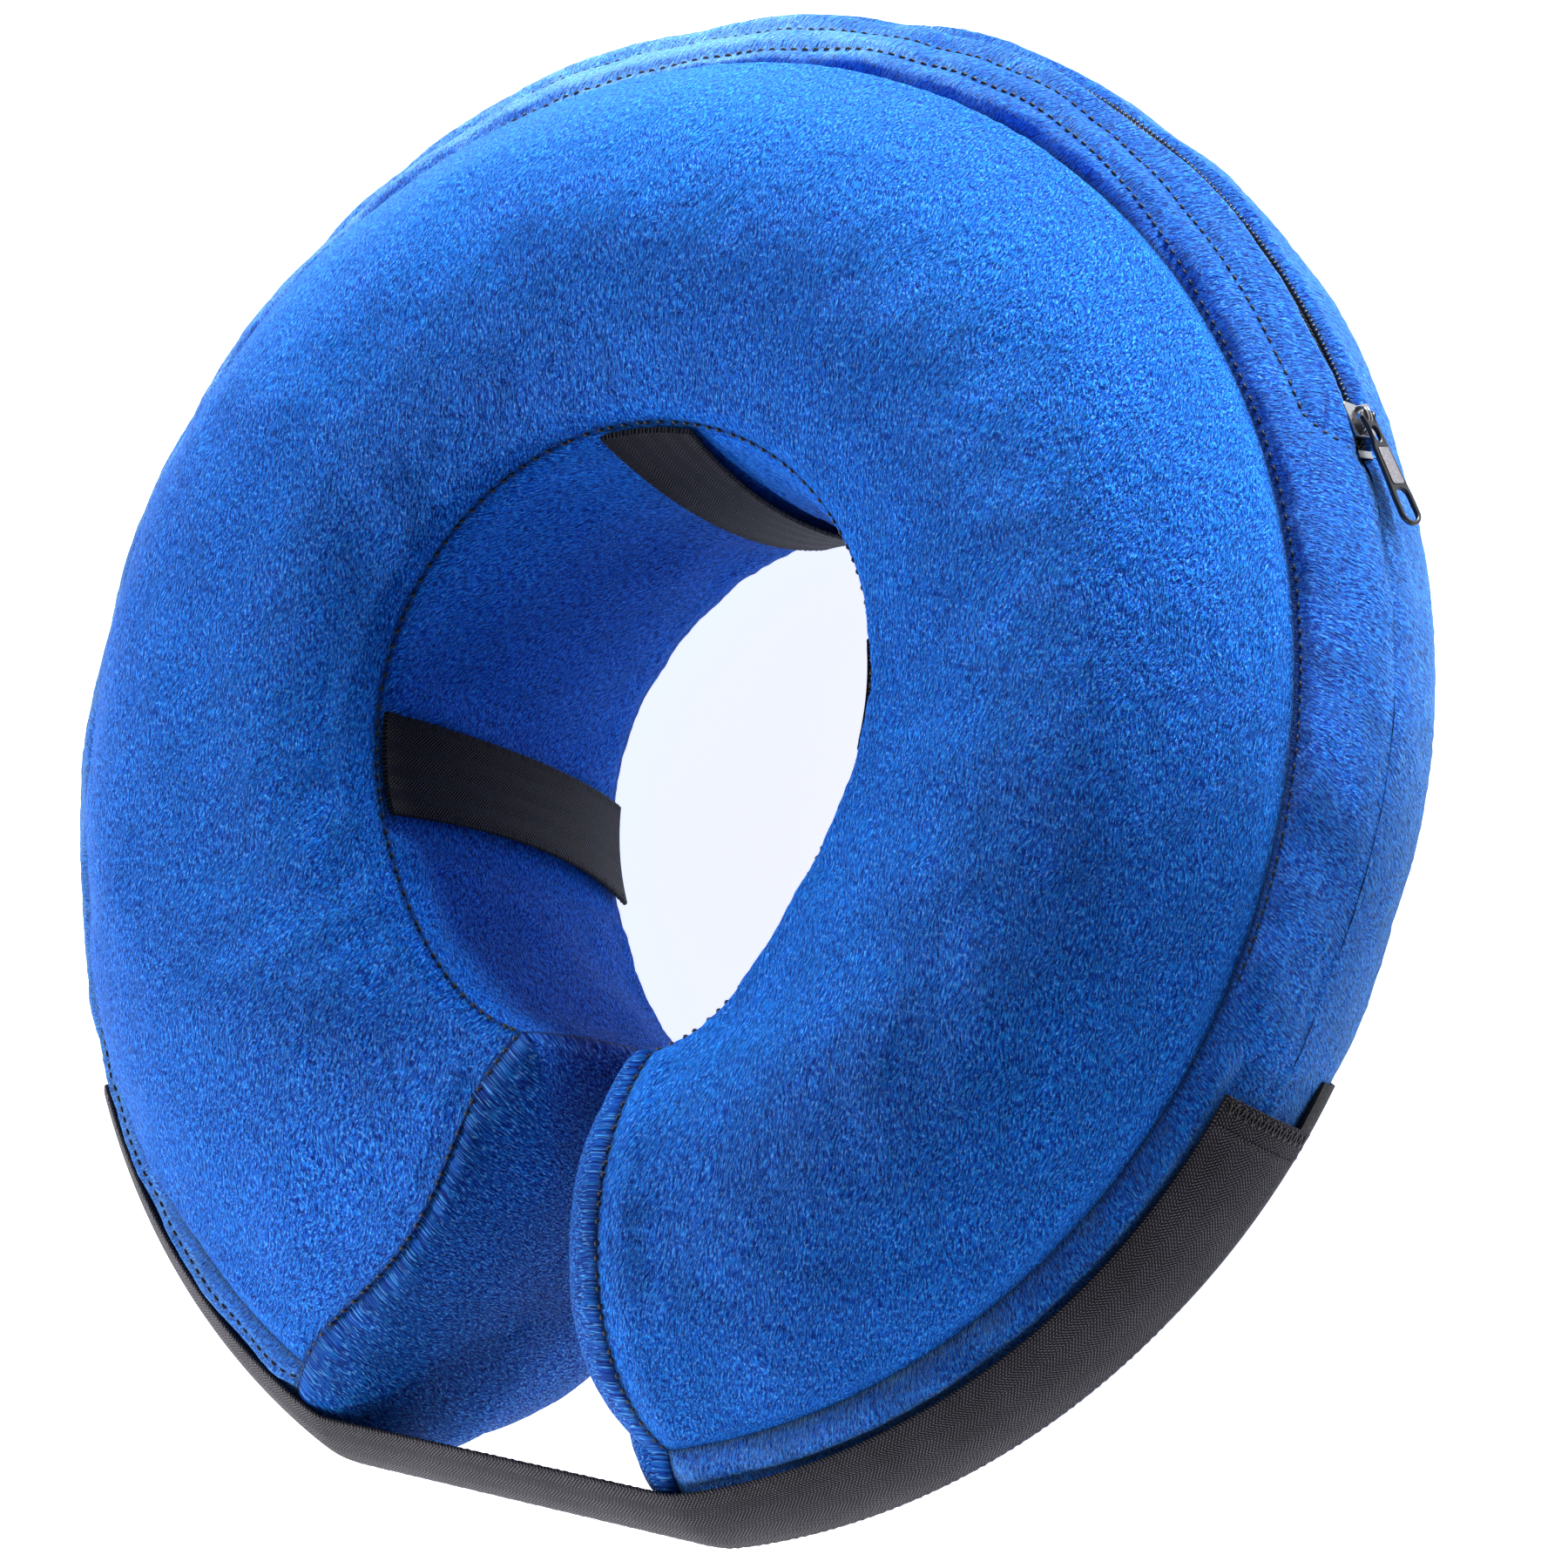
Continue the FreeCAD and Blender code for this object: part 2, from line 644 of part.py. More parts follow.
def build_zipper():
    start, end = size["zipper_start"], size["zipper_stop"]
    normal, across = zipper_directions()
    for side, sign in (("front", 1.0), ("rear", -1.0)):
        coil = doc.addObject("Part::Torus", f"Coil{side}")
        at = normal * size["coil_level"] + across * (sign * size["coil_offset"])
        coil.Radius1 = band_centre(size["outer_bulge"]) + at.x
        bound(coil, Radius2="Dimensions.coil_radius")
        coil.Angle3 = end - start
        place = Vector(0, 0, size["middle_height"] + at.z)
        coil.Placement = Placement(place, Rotation(Vector(0, 0, 1), start))
        keep(f"zipper_coil_{side}", coil)
        near = math.degrees((size["coil_offset"] + size["coil_radius"]) / size["tape_level"])
        far = near + math.degrees(size["zipper_tape_width"] / size["tape_level"])
        turns = sorted(size["zipper_angle"] + sign * turn for turn in (near, far))
        section = band_section(
            size["outer_bulge"], size["tape_level"], size["tape_level"] + TAPE_CLOTH, *turns
        )
        tape = band_patch(f"ZipperTape{side}", section, start - TAPE_MARGIN, end + TAPE_MARGIN)
        keep(f"zipper_tape_{side}", tape)
    half_length, half_width = STOP_HALVES
    for name, angle in (("top", start - STOP_MARGIN), ("bottom", end + STOP_MARGIN)):
        stop = plate(
            f"Stop{name}",
            (STOP_LEVELS[0], -half_length, -half_width),
            (STOP_LEVELS[1], half_length, half_width),
        )
        stop.Placement = zipper_frame(angle).multiply(stop.Placement)
        keep(f"zipper_{name}_stop", stop)


def centred_plate(name, levels, half_length, half_width):
    low = (levels[0], -half_length, -half_width)
    high = (levels[1], half_length, half_width)
    return plate(name, low, high)


def build_slider():
    half_length, half_width = size["slider_length"] / 2.0, size["slider_width"] / 2.0
    body = doc.addObject("Part::MultiFuse", "SliderBody")
    body.Shapes = [
        centred_plate("SliderFront", FRONT_PLATE, half_length, half_width),
        centred_plate("SliderWeb", SLIDER_WEB, *WEB_HALVES),
        centred_plate("SliderBack", BACK_PLATE, half_length, BACK_HALF_WIDTH),
    ]
    body.Placement = zipper_frame(size["slider_angle"])
    keep("zipper_slider", body)

    block = centred_plate("BailBlock", BAIL, *BAIL_HALVES)
    eye = doc.addObject("Part::Cylinder", "BailEye")
    bound(eye, Radius="Dimensions.eye_radius")
    eye.Height = 4.0 * BAIL_HALVES[1]
    eye.Placement.Base = Vector(PIN_LEVEL, 0, -2.0 * BAIL_HALVES[1])
    bail = doc.addObject("Part::Cut", "SliderBail")
    bail.Base, bail.Tool = block, eye
    bail.Placement = zipper_frame(size["slider_angle"])
    keep("slider_bail", bail)


def tab_opening():
    """The long round-ended hole near the free end of the tab."""
    low = TAB_BLADE[0] - size["tab_thickness"]
    depth = 4.0 * size["tab_thickness"]
    near, far = (along - size["tab_length"] for along in HOLE_REACH)
    hole = HOLE_HALF_WIDTH
    pieces = [plate("TabSlot", (low, near, -hole), (low + depth, far, hole))]
    for name, along in (("Near", near), ("Far", far)):
        round_end = doc.addObject("Part::Cylinder", f"TabSlot{name}")
        round_end.Radius, round_end.Height = hole, depth
        upright = Rotation(Vector(0, 1, 0), 90)
        round_end.Placement = Placement(Vector(low, along, 0), upright)
        pieces.append(round_end)
    opening = doc.addObject("Part::MultiFuse", "TabOpening")
    opening.Shapes = pieces
    return opening


def build_pull_tab():
    """Flat tab with two ears on a cross pin through the bail."""
    half = size["tab_width"] / 2.0
    pin = doc.addObject("Part::Cylinder", "TabPin")
    bound(pin, Radius="Dimensions.pin_radius", Height="Dimensions.tab_width")
    pin.Placement.Base = Vector(PIN_LEVEL, 0, -half)
    blade = plate(
        "TabBlade", (TAB_BLADE[0], -size["tab_length"], -half), (TAB_BLADE[1], BLADE_START, half)
    )
    bound(blade, Length="Dimensions.tab_thickness", Height="Dimensions.tab_width")
    ears = [
        plate(f"TabEar{name}", (TAB_EARS[0], EAR_REACH[0], low), (TAB_EARS[1], EAR_REACH[1], high))
        for name, low, high in (("Low", -half, -EAR_GAP), ("High", EAR_GAP, half))
    ]
    solid = doc.addObject("Part::MultiFuse", "TabSolid")
    solid.Shapes = [pin, blade] + ears
    tab = doc.addObject("Part::Cut", "PullTab")
    tab.Base, tab.Tool = solid, tab_opening()
    tab.Placement = zipper_frame(size["slider_angle"])
    keep("pull_tab", tab)


# ---------------------------------------------------------------- build, test and write


def write_parts():
    doc.recompute()
    for obj in doc.Objects:
        if "Invalid" in obj.State or "Error" in obj.State:
            raise RuntimeError(f"{obj.Name} did not rebuild: {obj.State}")
    os.makedirs("parts", exist_ok=True)
    to_origin = Vector(0, size["origin_shift_y"], 0)
    for label, obj in parts.items():
        if obj.Shape.isNull() or not obj.Shape.isValid() or not obj.Shape.Solids:
            raise RuntimeError(f"{label} is not a sound solid")
        obj.Shape.translated(to_origin).exportStep(f"parts/{label}.step")
        print(f"{label:28s} solids {len(obj.Shape.Solids)} volume {obj.Shape.Volume / 1000:9.3f} cm3")


build_cover()
build_bladder()
build_valve()
build_strap()
build_neck_loops()
build_zipper()
build_slider()
build_pull_tab()
write_parts()
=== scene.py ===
import math

import bpy
import numpy as np
from mathutils import Matrix, Vector, noise


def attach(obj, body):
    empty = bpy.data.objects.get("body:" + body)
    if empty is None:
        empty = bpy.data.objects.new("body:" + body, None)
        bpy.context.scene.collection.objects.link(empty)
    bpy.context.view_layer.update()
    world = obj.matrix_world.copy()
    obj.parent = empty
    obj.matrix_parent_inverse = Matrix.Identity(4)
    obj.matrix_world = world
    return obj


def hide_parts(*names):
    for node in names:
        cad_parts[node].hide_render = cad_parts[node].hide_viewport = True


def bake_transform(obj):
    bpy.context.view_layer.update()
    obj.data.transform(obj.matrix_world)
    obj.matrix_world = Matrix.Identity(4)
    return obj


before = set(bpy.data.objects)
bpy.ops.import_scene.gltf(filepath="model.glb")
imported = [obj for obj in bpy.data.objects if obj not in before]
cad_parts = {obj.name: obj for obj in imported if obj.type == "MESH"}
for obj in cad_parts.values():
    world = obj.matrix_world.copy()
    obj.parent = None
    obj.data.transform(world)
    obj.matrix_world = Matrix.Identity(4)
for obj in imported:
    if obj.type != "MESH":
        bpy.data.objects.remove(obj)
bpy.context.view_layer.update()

MM = 0.001

# ---------------------------------------------------------------- sizes, millimetres and degrees

NECK_RADIUS, NECK_CENTRE = 65.4, np.array([4.1, 5.3])
OUTER_RADIUS = 164.0
ORIGIN_SHIFT = np.array([0.0, -3.4, 0.0])
LEFT_SHIFT = np.array([6.0, -5.0])
SHIFT_START, SHIFT_END = 152.0, 200.0
NECK_HALF, OUTER_HALF, MIDDLE = 51.6, 24.7, 63.5
FACE_BULGE, OUTER_BULGE, STRAPPED_BULGE, NECK_BULGE = 26.4, 18.6, 14.4, 6.0
LEFT_END_FACE_BULGE, PINCH_START, PINCH_END = 8.0, 224.0, 259.0
RIGHT_FREE, RIGHT_PRESSED = 22.0, -10.0
LEFT_FREE, LEFT_PRESSED = 180.0, 214.0
RIGHT, LEFT = -70.0, 259.0
BEND_START, BEND_END = 105.0, 195.0
END_SWING = {"right": (3.1, -2.7, 16.0), "left": (8.5, -11.0, 11.3)}
END_SHARE, DOME_DEPTH = 0.25, 22.0
MINOR = (OUTER_HALF**2 + OUTER_BULGE**2) / (2 * OUTER_BULGE)
BAND_CENTRE = OUTER_RADIUS + OUTER_BULGE - MINOR
SEAM_TURN = math.degrees(math.asin(OUTER_HALF / MINOR))
ZIP_TURN, ZIP_START, ZIP_STOP = 22.0, 32.2, 140.5
SLIDER_ANGLE = 34.0
ZIP_TRAVEL = 104.5
STRAPPED_MINOR = (OUTER_HALF**2 + STRAPPED_BULGE**2) / (2 * STRAPPED_BULGE)
STRAPPED_CENTRE = OUTER_RADIUS + STRAPPED_BULGE - STRAPPED_MINOR
SURFACE = STRAPPED_MINOR + 0.25
STRAP_LEFT = (214.6, 251.0)
STRAP_RIGHT = (287.0, 342.4)
LANDING_END = 346.0
STRAP_HIGH = 43.0
WEB_WIDTH, WEB_THICK, TAPE_THICK = 25.0, 1.3, 0.8
LANDING_TOP = SURFACE + TAPE_THICK
STRAP_BOTTOM = LANDING_TOP + 0.25 + TAPE_THICK
STRAP_LOW = STRAP_HIGH - math.degrees(WEB_WIDTH / STRAP_BOTTOM)
STRAP_SEGMENTS = 5
LOOP_STANDOFF, LOOP_INSET, LOOP_SEAM_INSET, LOOP_TUCK = 1.6, 0.4, 1.0, 1.1
LOOP_ANGLES = {"left": 201.0, "top": 100.4, "right": 10.4}


def unit(angle):
    """Unit vectors in plan at angles in degrees."""
    turn = np.radians(angle)
    return np.stack([np.cos(turn), np.sin(turn)], -1)


def smooth(low, high, x):
    """0 below low, 1 above high and an S curve between them."""
    t = np.clip((np.asarray(x, float) - low) / (high - low), 0.0, 1.0)
    return t * t * (3.0 - 2.0 * t)


def normalised(vectors):
    return vectors / np.linalg.norm(vectors, axis=-1, keepdims=True)


def metres(points):
    """Points of the ring's own frame, in millimetres, as metres in the shared frame."""
    return (np.asarray(points, float) + ORIGIN_SHIFT) * MM


def band_bulge(angle):
    """Bulge of the outer band, which the strap presses flatter."""
    left, right = smooth(LEFT_FREE, LEFT_PRESSED, angle), smooth(-RIGHT_FREE, -RIGHT_PRESSED, -angle)
    pressed = np.maximum(left, right)
    return OUTER_BULGE + pressed * (STRAPPED_BULGE - OUTER_BULGE)


def seam_turn(angle):
    """Turn of the band's arc at which its seams lie."""
    bulge = band_bulge(angle)
    return np.degrees(np.arcsin(OUTER_HALF * 2 * bulge / (OUTER_HALF**2 + bulge**2)))


# ---------------------------------------------------------------- the ring's surface


def station(angle):
    """Neck point, unit along and section width of the upright planes at some angles."""
    angle = np.asarray(angle, float)
    share = (angle - RIGHT) / (LEFT - RIGHT)
    neck, outer, flare = angle.copy(), angle.copy(), np.zeros_like(angle)
    for side, s in (("right", share), ("left", 1.0 - share)):
        w = 1.0 - smooth(0.0, END_SHARE, s)
        neck = neck + w * END_SWING[side][0]
        outer = outer + w * END_SWING[side][1]
        flare = flare + w**3 * END_SWING[side][2]
    a = NECK_CENTRE + (NECK_RADIUS + flare)[..., None] * unit(neck)
    b = OUTER_RADIUS * unit(outer) + LEFT_SHIFT * smooth(SHIFT_START, SHIFT_END, angle)[..., None]
    width = np.linalg.norm(b - a, axis=-1)
    along = (b - a) / width[..., None]
    return a, along, width


def arc(start, end, bulge, share):
    """Points of the arc from start to end that bulges to its left; all arguments broadcast."""
    start, end = np.broadcast_arrays(np.asarray(start, float), np.asarray(end, float))
    chord = np.linalg.norm(end - start, axis=-1)
    radius = (chord**2 / 4.0 + bulge**2) / (2.0 * bulge)
    left = np.stack([-(end - start)[..., 1], (end - start)[..., 0]], -1) / chord[..., None]
    centre = (start + end) / 2.0 + left * (bulge - radius)[..., None]
    a0 = np.arctan2(*(start - centre)[..., ::-1].transpose(-1, *range(start.ndim - 1)))
    a1 = np.arctan2(*(end - centre)[..., ::-1].transpose(-1, *range(start.ndim - 1)))
    sweep = (a1 - a0 + np.pi) % (2 * np.pi) - np.pi
    turn = a0 + sweep * share
    return centre + radius[..., None] * np.stack([np.cos(turn), np.sin(turn)], -1)


def local_corners(width):
    z = np.zeros_like(width)
    return {
        "nf": np.stack([z, z + NECK_HALF], -1), "nr": np.stack([z, z - NECK_HALF], -1),
        "of": np.stack([width, z + OUTER_HALF], -1), "or": np.stack([width, z - OUTER_HALF], -1),
    }


ZIP_SHARE = (SEAM_TURN - ZIP_TURN) / (2.0 * SEAM_TURN)
SIDES = {
    "front": ("nf", "of", FACE_BULGE, 0.0, 1.0),
    "outer_front": ("of", "or", OUTER_BULGE, 0.0, ZIP_SHARE),
    "outer_rear": ("of", "or", OUTER_BULGE, ZIP_SHARE, 1.0),
    "rear": ("or", "nr", FACE_BULGE, 0.0, 1.0),
    "neck": ("nr", "nf", NECK_BULGE, 0.0, 1.0),
}


def section(side, angle, share, swell=1.0):
    """Local (reach, height) on one side of the section."""
    first, last, bulge, low, high = SIDES[side]
    if side.startswith("outer"):
        bulge = band_bulge(angle)
    if side == "front":
        bulge = FACE_BULGE + smooth(PINCH_START, PINCH_END, angle) * (LEFT_END_FACE_BULGE - FACE_BULGE)
    at = local_corners(station(angle)[2])
    return arc(at[first], at[last], bulge * swell, low + (high - low) * share)


def place(angle, local, level=1.0, push=0.0):
    """World points of local section points, drawn to the core by level, pushed off the plane."""
    a, along, width = station(angle)
    core = 0.5 * (width + OUTER_BULGE - NECK_BULGE)
    reach = core + level * (local[..., 0] - core)
    xy = a + along * reach[..., None]
    normal = np.stack([-along[..., 1], along[..., 0]], -1)
    xy = xy + normal * np.asarray(push)[..., None]
    return np.concatenate([xy, (MIDDLE + level * local[..., 1])[..., None]], -1)


def surface(side, angles, shares, swell=1.0):
    """Grid of points on one side of the section at some angles."""
    th, sh = np.meshgrid(angles, shares, indexing="ij")
    return place(th, section(side, th, sh, swell), 1.0, np.zeros_like(th))


def grid_normals(points):
    """Outward unit normals of a grid of points."""
    n = np.cross(np.gradient(points, axis=1), np.gradient(points, axis=0))
    n /= np.maximum(np.linalg.norm(n, axis=-1, keepdims=True), 1e-9)
    return n


# ---------------------------------------------------------------- meshes


def build(name, verts, faces, material, normals=None, uv=None, fields=None):
    """A smooth mesh object from points in millimetres and an array or a list of faces."""
    mesh = bpy.data.meshes.new(name)
    verts = np.asarray(verts, float).reshape(-1, 3)
    mesh.from_pydata(metres(verts).tolist(), [], faces if isinstance(faces, list) else faces.tolist())
    mesh.polygons.foreach_set("use_smooth", np.full(len(mesh.polygons), True))
    if uv is not None:
        loops = np.empty(len(mesh.loops), np.int32)
        mesh.loops.foreach_get("vertex_index", loops)
        layer = mesh.uv_layers.new(name="nap")
        layer.uv.foreach_set("vector", (uv.reshape(-1, 2)[loops] * MM).astype(np.float32).ravel())
    for key, values in (fields or {}).items():
        attribute = mesh.attributes.new(key, "FLOAT", "POINT")
        attribute.data.foreach_set("value", values.astype(np.float32).ravel())
    if normals is not None:
        mesh.normals_split_custom_set_from_vertices(normals.reshape(-1, 3).tolist())
    mesh.materials.append(material)
    obj = bpy.data.objects.new(name, mesh)
    bpy.context.scene.collection.objects.link(obj)
    return obj


def grid_faces(rows, cols, wrap=False):
    """Quads of a grid of points, joined round when wrapped."""
    index = np.arange(rows * cols).reshape(rows, cols)
    if wrap:
        index = np.concatenate([index, index[:, :1]], 1)
    a, b, c, d = index[:-1, :-1], index[:-1, 1:], index[1:, 1:], index[1:, :-1]
    return np.stack([a, b, c, d], -1).reshape(-1, 4)


def noise_field(points, along, sizes, seed):
    """Smooth noise whose cells are sizes[0] along a direction field and sizes[1] across it."""
    flat = points.reshape(-1, 3)
    a = np.broadcast_to(along, points.shape).reshape(-1, 3)
    lengthways = (flat * a).sum(-1, keepdims=True) * a
    q = lengthways / sizes[0] + (flat - lengthways) / sizes[1] + seed
    return np.array([noise.noise(Vector(p)) for p in q.tolist()]).reshape(points.shape[:-1])


# ---------------------------------------------------------------- materials


def new_material(name):
    """A material with a principled shader and nothing else."""
    mat = bpy.data.materials.new(name)
    mat.use_nodes = True
    tree = mat.node_tree
    tree.nodes.clear()
    out = tree.nodes.new("ShaderNodeOutputMaterial")
    shader = tree.nodes.new("ShaderNodeBsdfPrincipled")
    tree.links.new(shader.outputs[0], out.inputs[0])
    return mat, tree, shader


def node(tree, kind, inputs=None, **settings):
    """A shader node whose inputs are sockets to link or values to set."""
    n = tree.nodes.new(kind)
    for key, value in settings.items():
        setattr(n, key, value)
    for key, value in (inputs or {}).items():
        if isinstance(value, bpy.types.NodeSocket):
            tree.links.new(value, n.inputs[key])
        else:
            n.inputs[key].default_value = value
    return n


def math_node(tree, operation, a, b=0.0):
    return node(tree, "ShaderNodeMath", {0: a, 1: b}, operation=operation).outputs[0]


def ramp(tree, factor, stops):
    """Colours at stops along a factor."""
    n = node(tree, "ShaderNodeValToRGB", {0: factor})
    ramp_ = n.color_ramp
    while len(ramp_.elements) < len(stops):
        ramp_.elements.new(0.5)
    for element, (at, colour) in zip(ramp_.elements, stops):
        element.position = at
        element.color = (*colour, 1.0)
    return n.outputs[0]


def mix_colour(tree, factor, a, b, blend="MIX"):
    n = tree.nodes.new("ShaderNodeMix")
    n.data_type, n.blend_type = "RGBA", blend
    for key, value in ((0, factor), (6, a), (7, b)):
        if isinstance(value, bpy.types.NodeSocket):
            tree.links.new(value, n.inputs[key])
        elif key == 0:
            n.inputs[key].default_value = value
        else:
            n.inputs[key].default_value = (*value, 1.0)
    return n.outputs[2]


def texture(tree, vector, scale, detail, output=0, **settings):
    """Output of a noise texture."""
    inputs = {"Vector": vector, "Scale": scale, "Detail": detail}
    return node(tree, "ShaderNodeTexNoise", inputs, **settings).outputs[output]


def dress(tree, shader, colour, height, bump, rough, **sockets):
    """Join colour, bump (strength, distance in m) and roughness to a shader, set other sockets."""
    inputs = {"Height": height, "Strength": bump[0], "Distance": bump[1]}
    relief = node(tree, "ShaderNodeBump", inputs).outputs[0]
    for socket, value in (("Base Color", colour), ("Normal", relief), ("Roughness", rough)):
        tree.links.new(value, shader.inputs[socket])
    for key, value in sockets.items():
        shader.inputs[key.replace("_", " ")].default_value = value


def plush(name, tilt=0.0, painted_light_scale=1.0, sheen=0.3, sheen_tint=(0.06, 0.45, 1.0)):
    """Short-pile blue plush: fine streaks that lie along the nap, painted glints, brushed patches, painted
    seam shade, sheen; its colour scale makes lighter and darker copies of it for how light falls.
    """
    mat, tree, shader = new_material(name)
    uv = node(tree, "ShaderNodeUVMap", uv_map="nap").outputs[0]
    turned = node(tree, "ShaderNodeMapping", {0: uv, "Rotation": (0, 0, math.radians(tilt))}).outputs[0]
    warp = texture(tree, turned, 70.0, 1.0, "Color")
    warped = node(tree, "ShaderNodeVectorMath", {0: warp, 1: (0.005, 0.005, 0.0)}, operation="MULTIPLY")
    bent = node(tree, "ShaderNodeVectorMath", {0: turned, 1: warped.outputs[0]}, operation="ADD").outputs[0]

    def streaks(across, along, detail, rough=0.6):
        scaled = node(tree, "ShaderNodeMapping", {0: bent, "Scale": (across, along, 1.0)}).outputs[0]
        return node(tree, "ShaderNodeTexNoise", {"Vector": scaled, "Scale": 1.0, "Detail": detail,
                                                 "Roughness": rough}, noise_dimensions="2D").outputs[0]

    streak = streaks(1900.0, 520.0, 3.0, 0.70)
    clump = streaks(620.0, 230.0, 2.0)
    glint = streaks(2300.0, 1000.0, 1.0)
    patch = texture(tree, turned, 18.0, 2.0, noise_dimensions="2D")
    # the colour scale makes lighter copies as painted light and darker copies as painted shade of the same
    # plush
    deep = tuple(painted_light_scale * c for c in (0.0004, 0.033, 0.36))
    mid = tuple(painted_light_scale * c for c in (0.0010, 0.110, 0.80))
    pale = tuple(painted_light_scale * c for c in (0.0050, 0.265, 1.00))
    colour = ramp(tree, streak, [(0.38, deep), (0.50, mid), (0.61, pale)])
    clumps = ramp(tree, clump, [(0.34, (0.74, 0.78, 0.84)), (0.62, (1.08, 1.06, 1.03))])
    patches = ramp(tree, patch, [(0.34, (0.86, 0.90, 0.94)), (0.66, (1.10, 1.06, 1.03))])
    colour = mix_colour(tree, 1.0, colour, clumps, "MULTIPLY")
    colour = mix_colour(tree, 1.0, colour, patches, "MULTIPLY")
    # painted glints: pale blue specks of highlight added to the colour where a fine noise is high
    painted_glints = ramp(tree, glint, [(0.58, (0.0, 0.0, 0.0)), (0.70, (0.09, 0.28, 0.44))])
    colour = mix_colour(tree, 1.0, colour, painted_glints, "ADD")
    # painted shade: the 'seam' attribute darkens the colour towards a deeper blue along seams, topstitch
    # furrows and the zipper parting
    seam = node(tree, "ShaderNodeAttribute", attribute_name="seam").outputs["Fac"]
    colour = mix_colour(tree, seam, colour, tuple(0.3 * c for c in deep))
    height = math_node(tree, "ADD", math_node(tree, "MULTIPLY", streak, 0.8),
                       math_node(tree, "MULTIPLY", clump, 0.7))
    rough = ramp(tree, streak, [(0.3, (0.80,) * 3), (0.7, (0.46,) * 3)])
    dress(tree, shader, colour, height, (1.0, 0.0016), rough, Specular_IOR_Level=0.08,
          Sheen_Weight=sheen, Sheen_Roughness=0.36, Sheen_Tint=(*sheen_tint, 1.0))
    return mat


def webbing(name, colour, bright):
    """Black herringbone webbing: diagonal ribs that change direction across the width, painted into the
    colour with darker valleys as painted shade and rib tops up to a painted highlight colour.
    """
    mat, tree, shader = new_material(name)
    uv = node(tree, "ShaderNodeUVMap", uv_map="nap").outputs[0]
    xy = node(tree, "ShaderNodeSeparateXYZ", {0: uv})
    across, along = xy.outputs[0], xy.outputs[1]
    zig = math_node(tree, "PINGPONG", across, 0.0031)
    lane = math_node(tree, "ADD", along, zig)
    rib = math_node(tree, "SINE", math_node(tree, "MULTIPLY", lane, 2 * math.pi / 0.00095))
    thread = math_node(tree, "SINE", math_node(tree, "MULTIPLY", across, 2 * math.pi / 0.00062))
    both = math_node(tree, "MULTIPLY", math_node(tree, "ADD", math_node(tree, "MULTIPLY", rib, 0.5), 0.5),
                     math_node(tree, "ADD", math_node(tree, "MULTIPLY", thread, 0.28), 0.72))
    grain = texture(tree, uv, 900.0, 2.0)
    wear = texture(tree, uv, 60.0, 3.0)
    fleck = math_node(tree, "ADD", both, math_node(tree, "MULTIPLY", grain, 0.35))
    # painted shade in the rib valleys and a painted highlight on the rib tops, whose colour is the last
    # argument
    shade = ramp(tree, fleck, [(0.20, tuple(0.3 * c for c in colour)),
                               (0.75, tuple(1.3 * c for c in colour)), (1.0, bright)])
    worn = ramp(tree, wear, [(0.35, (0.82,) * 3), (0.7, (1.25,) * 3)])
    rough = ramp(tree, fleck, [(0.2, (0.75,) * 3), (0.9, (0.42,) * 3)])
    dress(tree, shader, mix_colour(tree, 1.0, shade, worn, "MULTIPLY"), fleck, (0.8, 0.0003), rough,
          Specular_IOR_Level=0.16, Sheen_Weight=0.03, Sheen_Tint=(0.6, 0.6, 0.68, 1.0))
    return mat


def grained(name, colour, rough=0.5, metal=0.0, scale=900.0, bump_depth=0.0001, spread=0.25):
    """Moulded, knitted or cast surface with a fine grain and slight unevenness of tone."""
    mat, tree, shader = new_material(name)
    at = node(tree, "ShaderNodeTexCoord").outputs["Object"]
    grain = texture(tree, at, scale, 3.0)
    tone = ramp(tree, grain, [(0.3, tuple((1 - spread) * c for c in colour)),
                              (0.7, tuple(min(1.0, (1 + spread) * c) for c in colour))])
    polish = ramp(tree, grain, [(0.3, (rough * 1.15,) * 3), (0.7, (rough * 0.85,) * 3)])
    dress(tree, shader, tone, grain, (0.5, bump_depth), polish, Metallic=metal)
    return mat


FACE_PLUSH = plush("plush_face")
# painted light: the neck plush is a copy of the face plush with its colour 1.12 times lighter and its nap
# turned
LIT_NECK_PLUSH = plush("plush_neck_painted_lighter", tilt=38.0, painted_light_scale=1.12)
# painted light: the band plush is a copy of the face plush with its colour 1.1 times lighter
LIT_BAND_PLUSH = plush("plush_band_painted_lighter", tilt=-68.0, painted_light_scale=1.1, sheen=0.85, sheen_tint=(0.40, 0.78, 1.0))
# painted shade: the end plush is a copy of the face plush with its colour 0.6 times as light
SHADED_END_PLUSH = plush("plush_end_painted_shade", painted_light_scale=0.6, sheen=0.06)
# the last colour of each webbing is its painted rib highlight
WEBBING = webbing("webbing_black", (0.0170, 0.0155, 0.0250), (0.13, 0.12, 0.16))
# painted shade: the keepers' webbing is a copy of the strap's with a far darker colour, for shade on the
# neck wall
SHADED_KEEPER_WEBBING = webbing("webbing_keeper_painted_shade", (0.0020, 0.0020, 0.0040), (0.05, 0.05, 0.065))
THREAD = grained("thread_dark", (0.006, 0.008, 0.016), rough=0.6, scale=2500.0)
WEBBING_THREAD = grained("thread_black", (0.03, 0.03, 0.035), rough=0.35, scale=2500.0)
HOOK = grained("hook_tape_black", (0.012, 0.012, 0.014), rough=0.55, scale=1500.0, bump_depth=0.0004)
LOOP = grained("loop_tape_black", (0.010, 0.010, 0.013), rough=0.9, scale=1300.0, bump_depth=0.0005)
COIL = grained("coil_black", (0.010, 0.010, 0.012), rough=0.35, scale=1500.0)
TAPE = grained("zipper_tape_black", (0.012, 0.013, 0.018), rough=0.8, scale=2000.0)
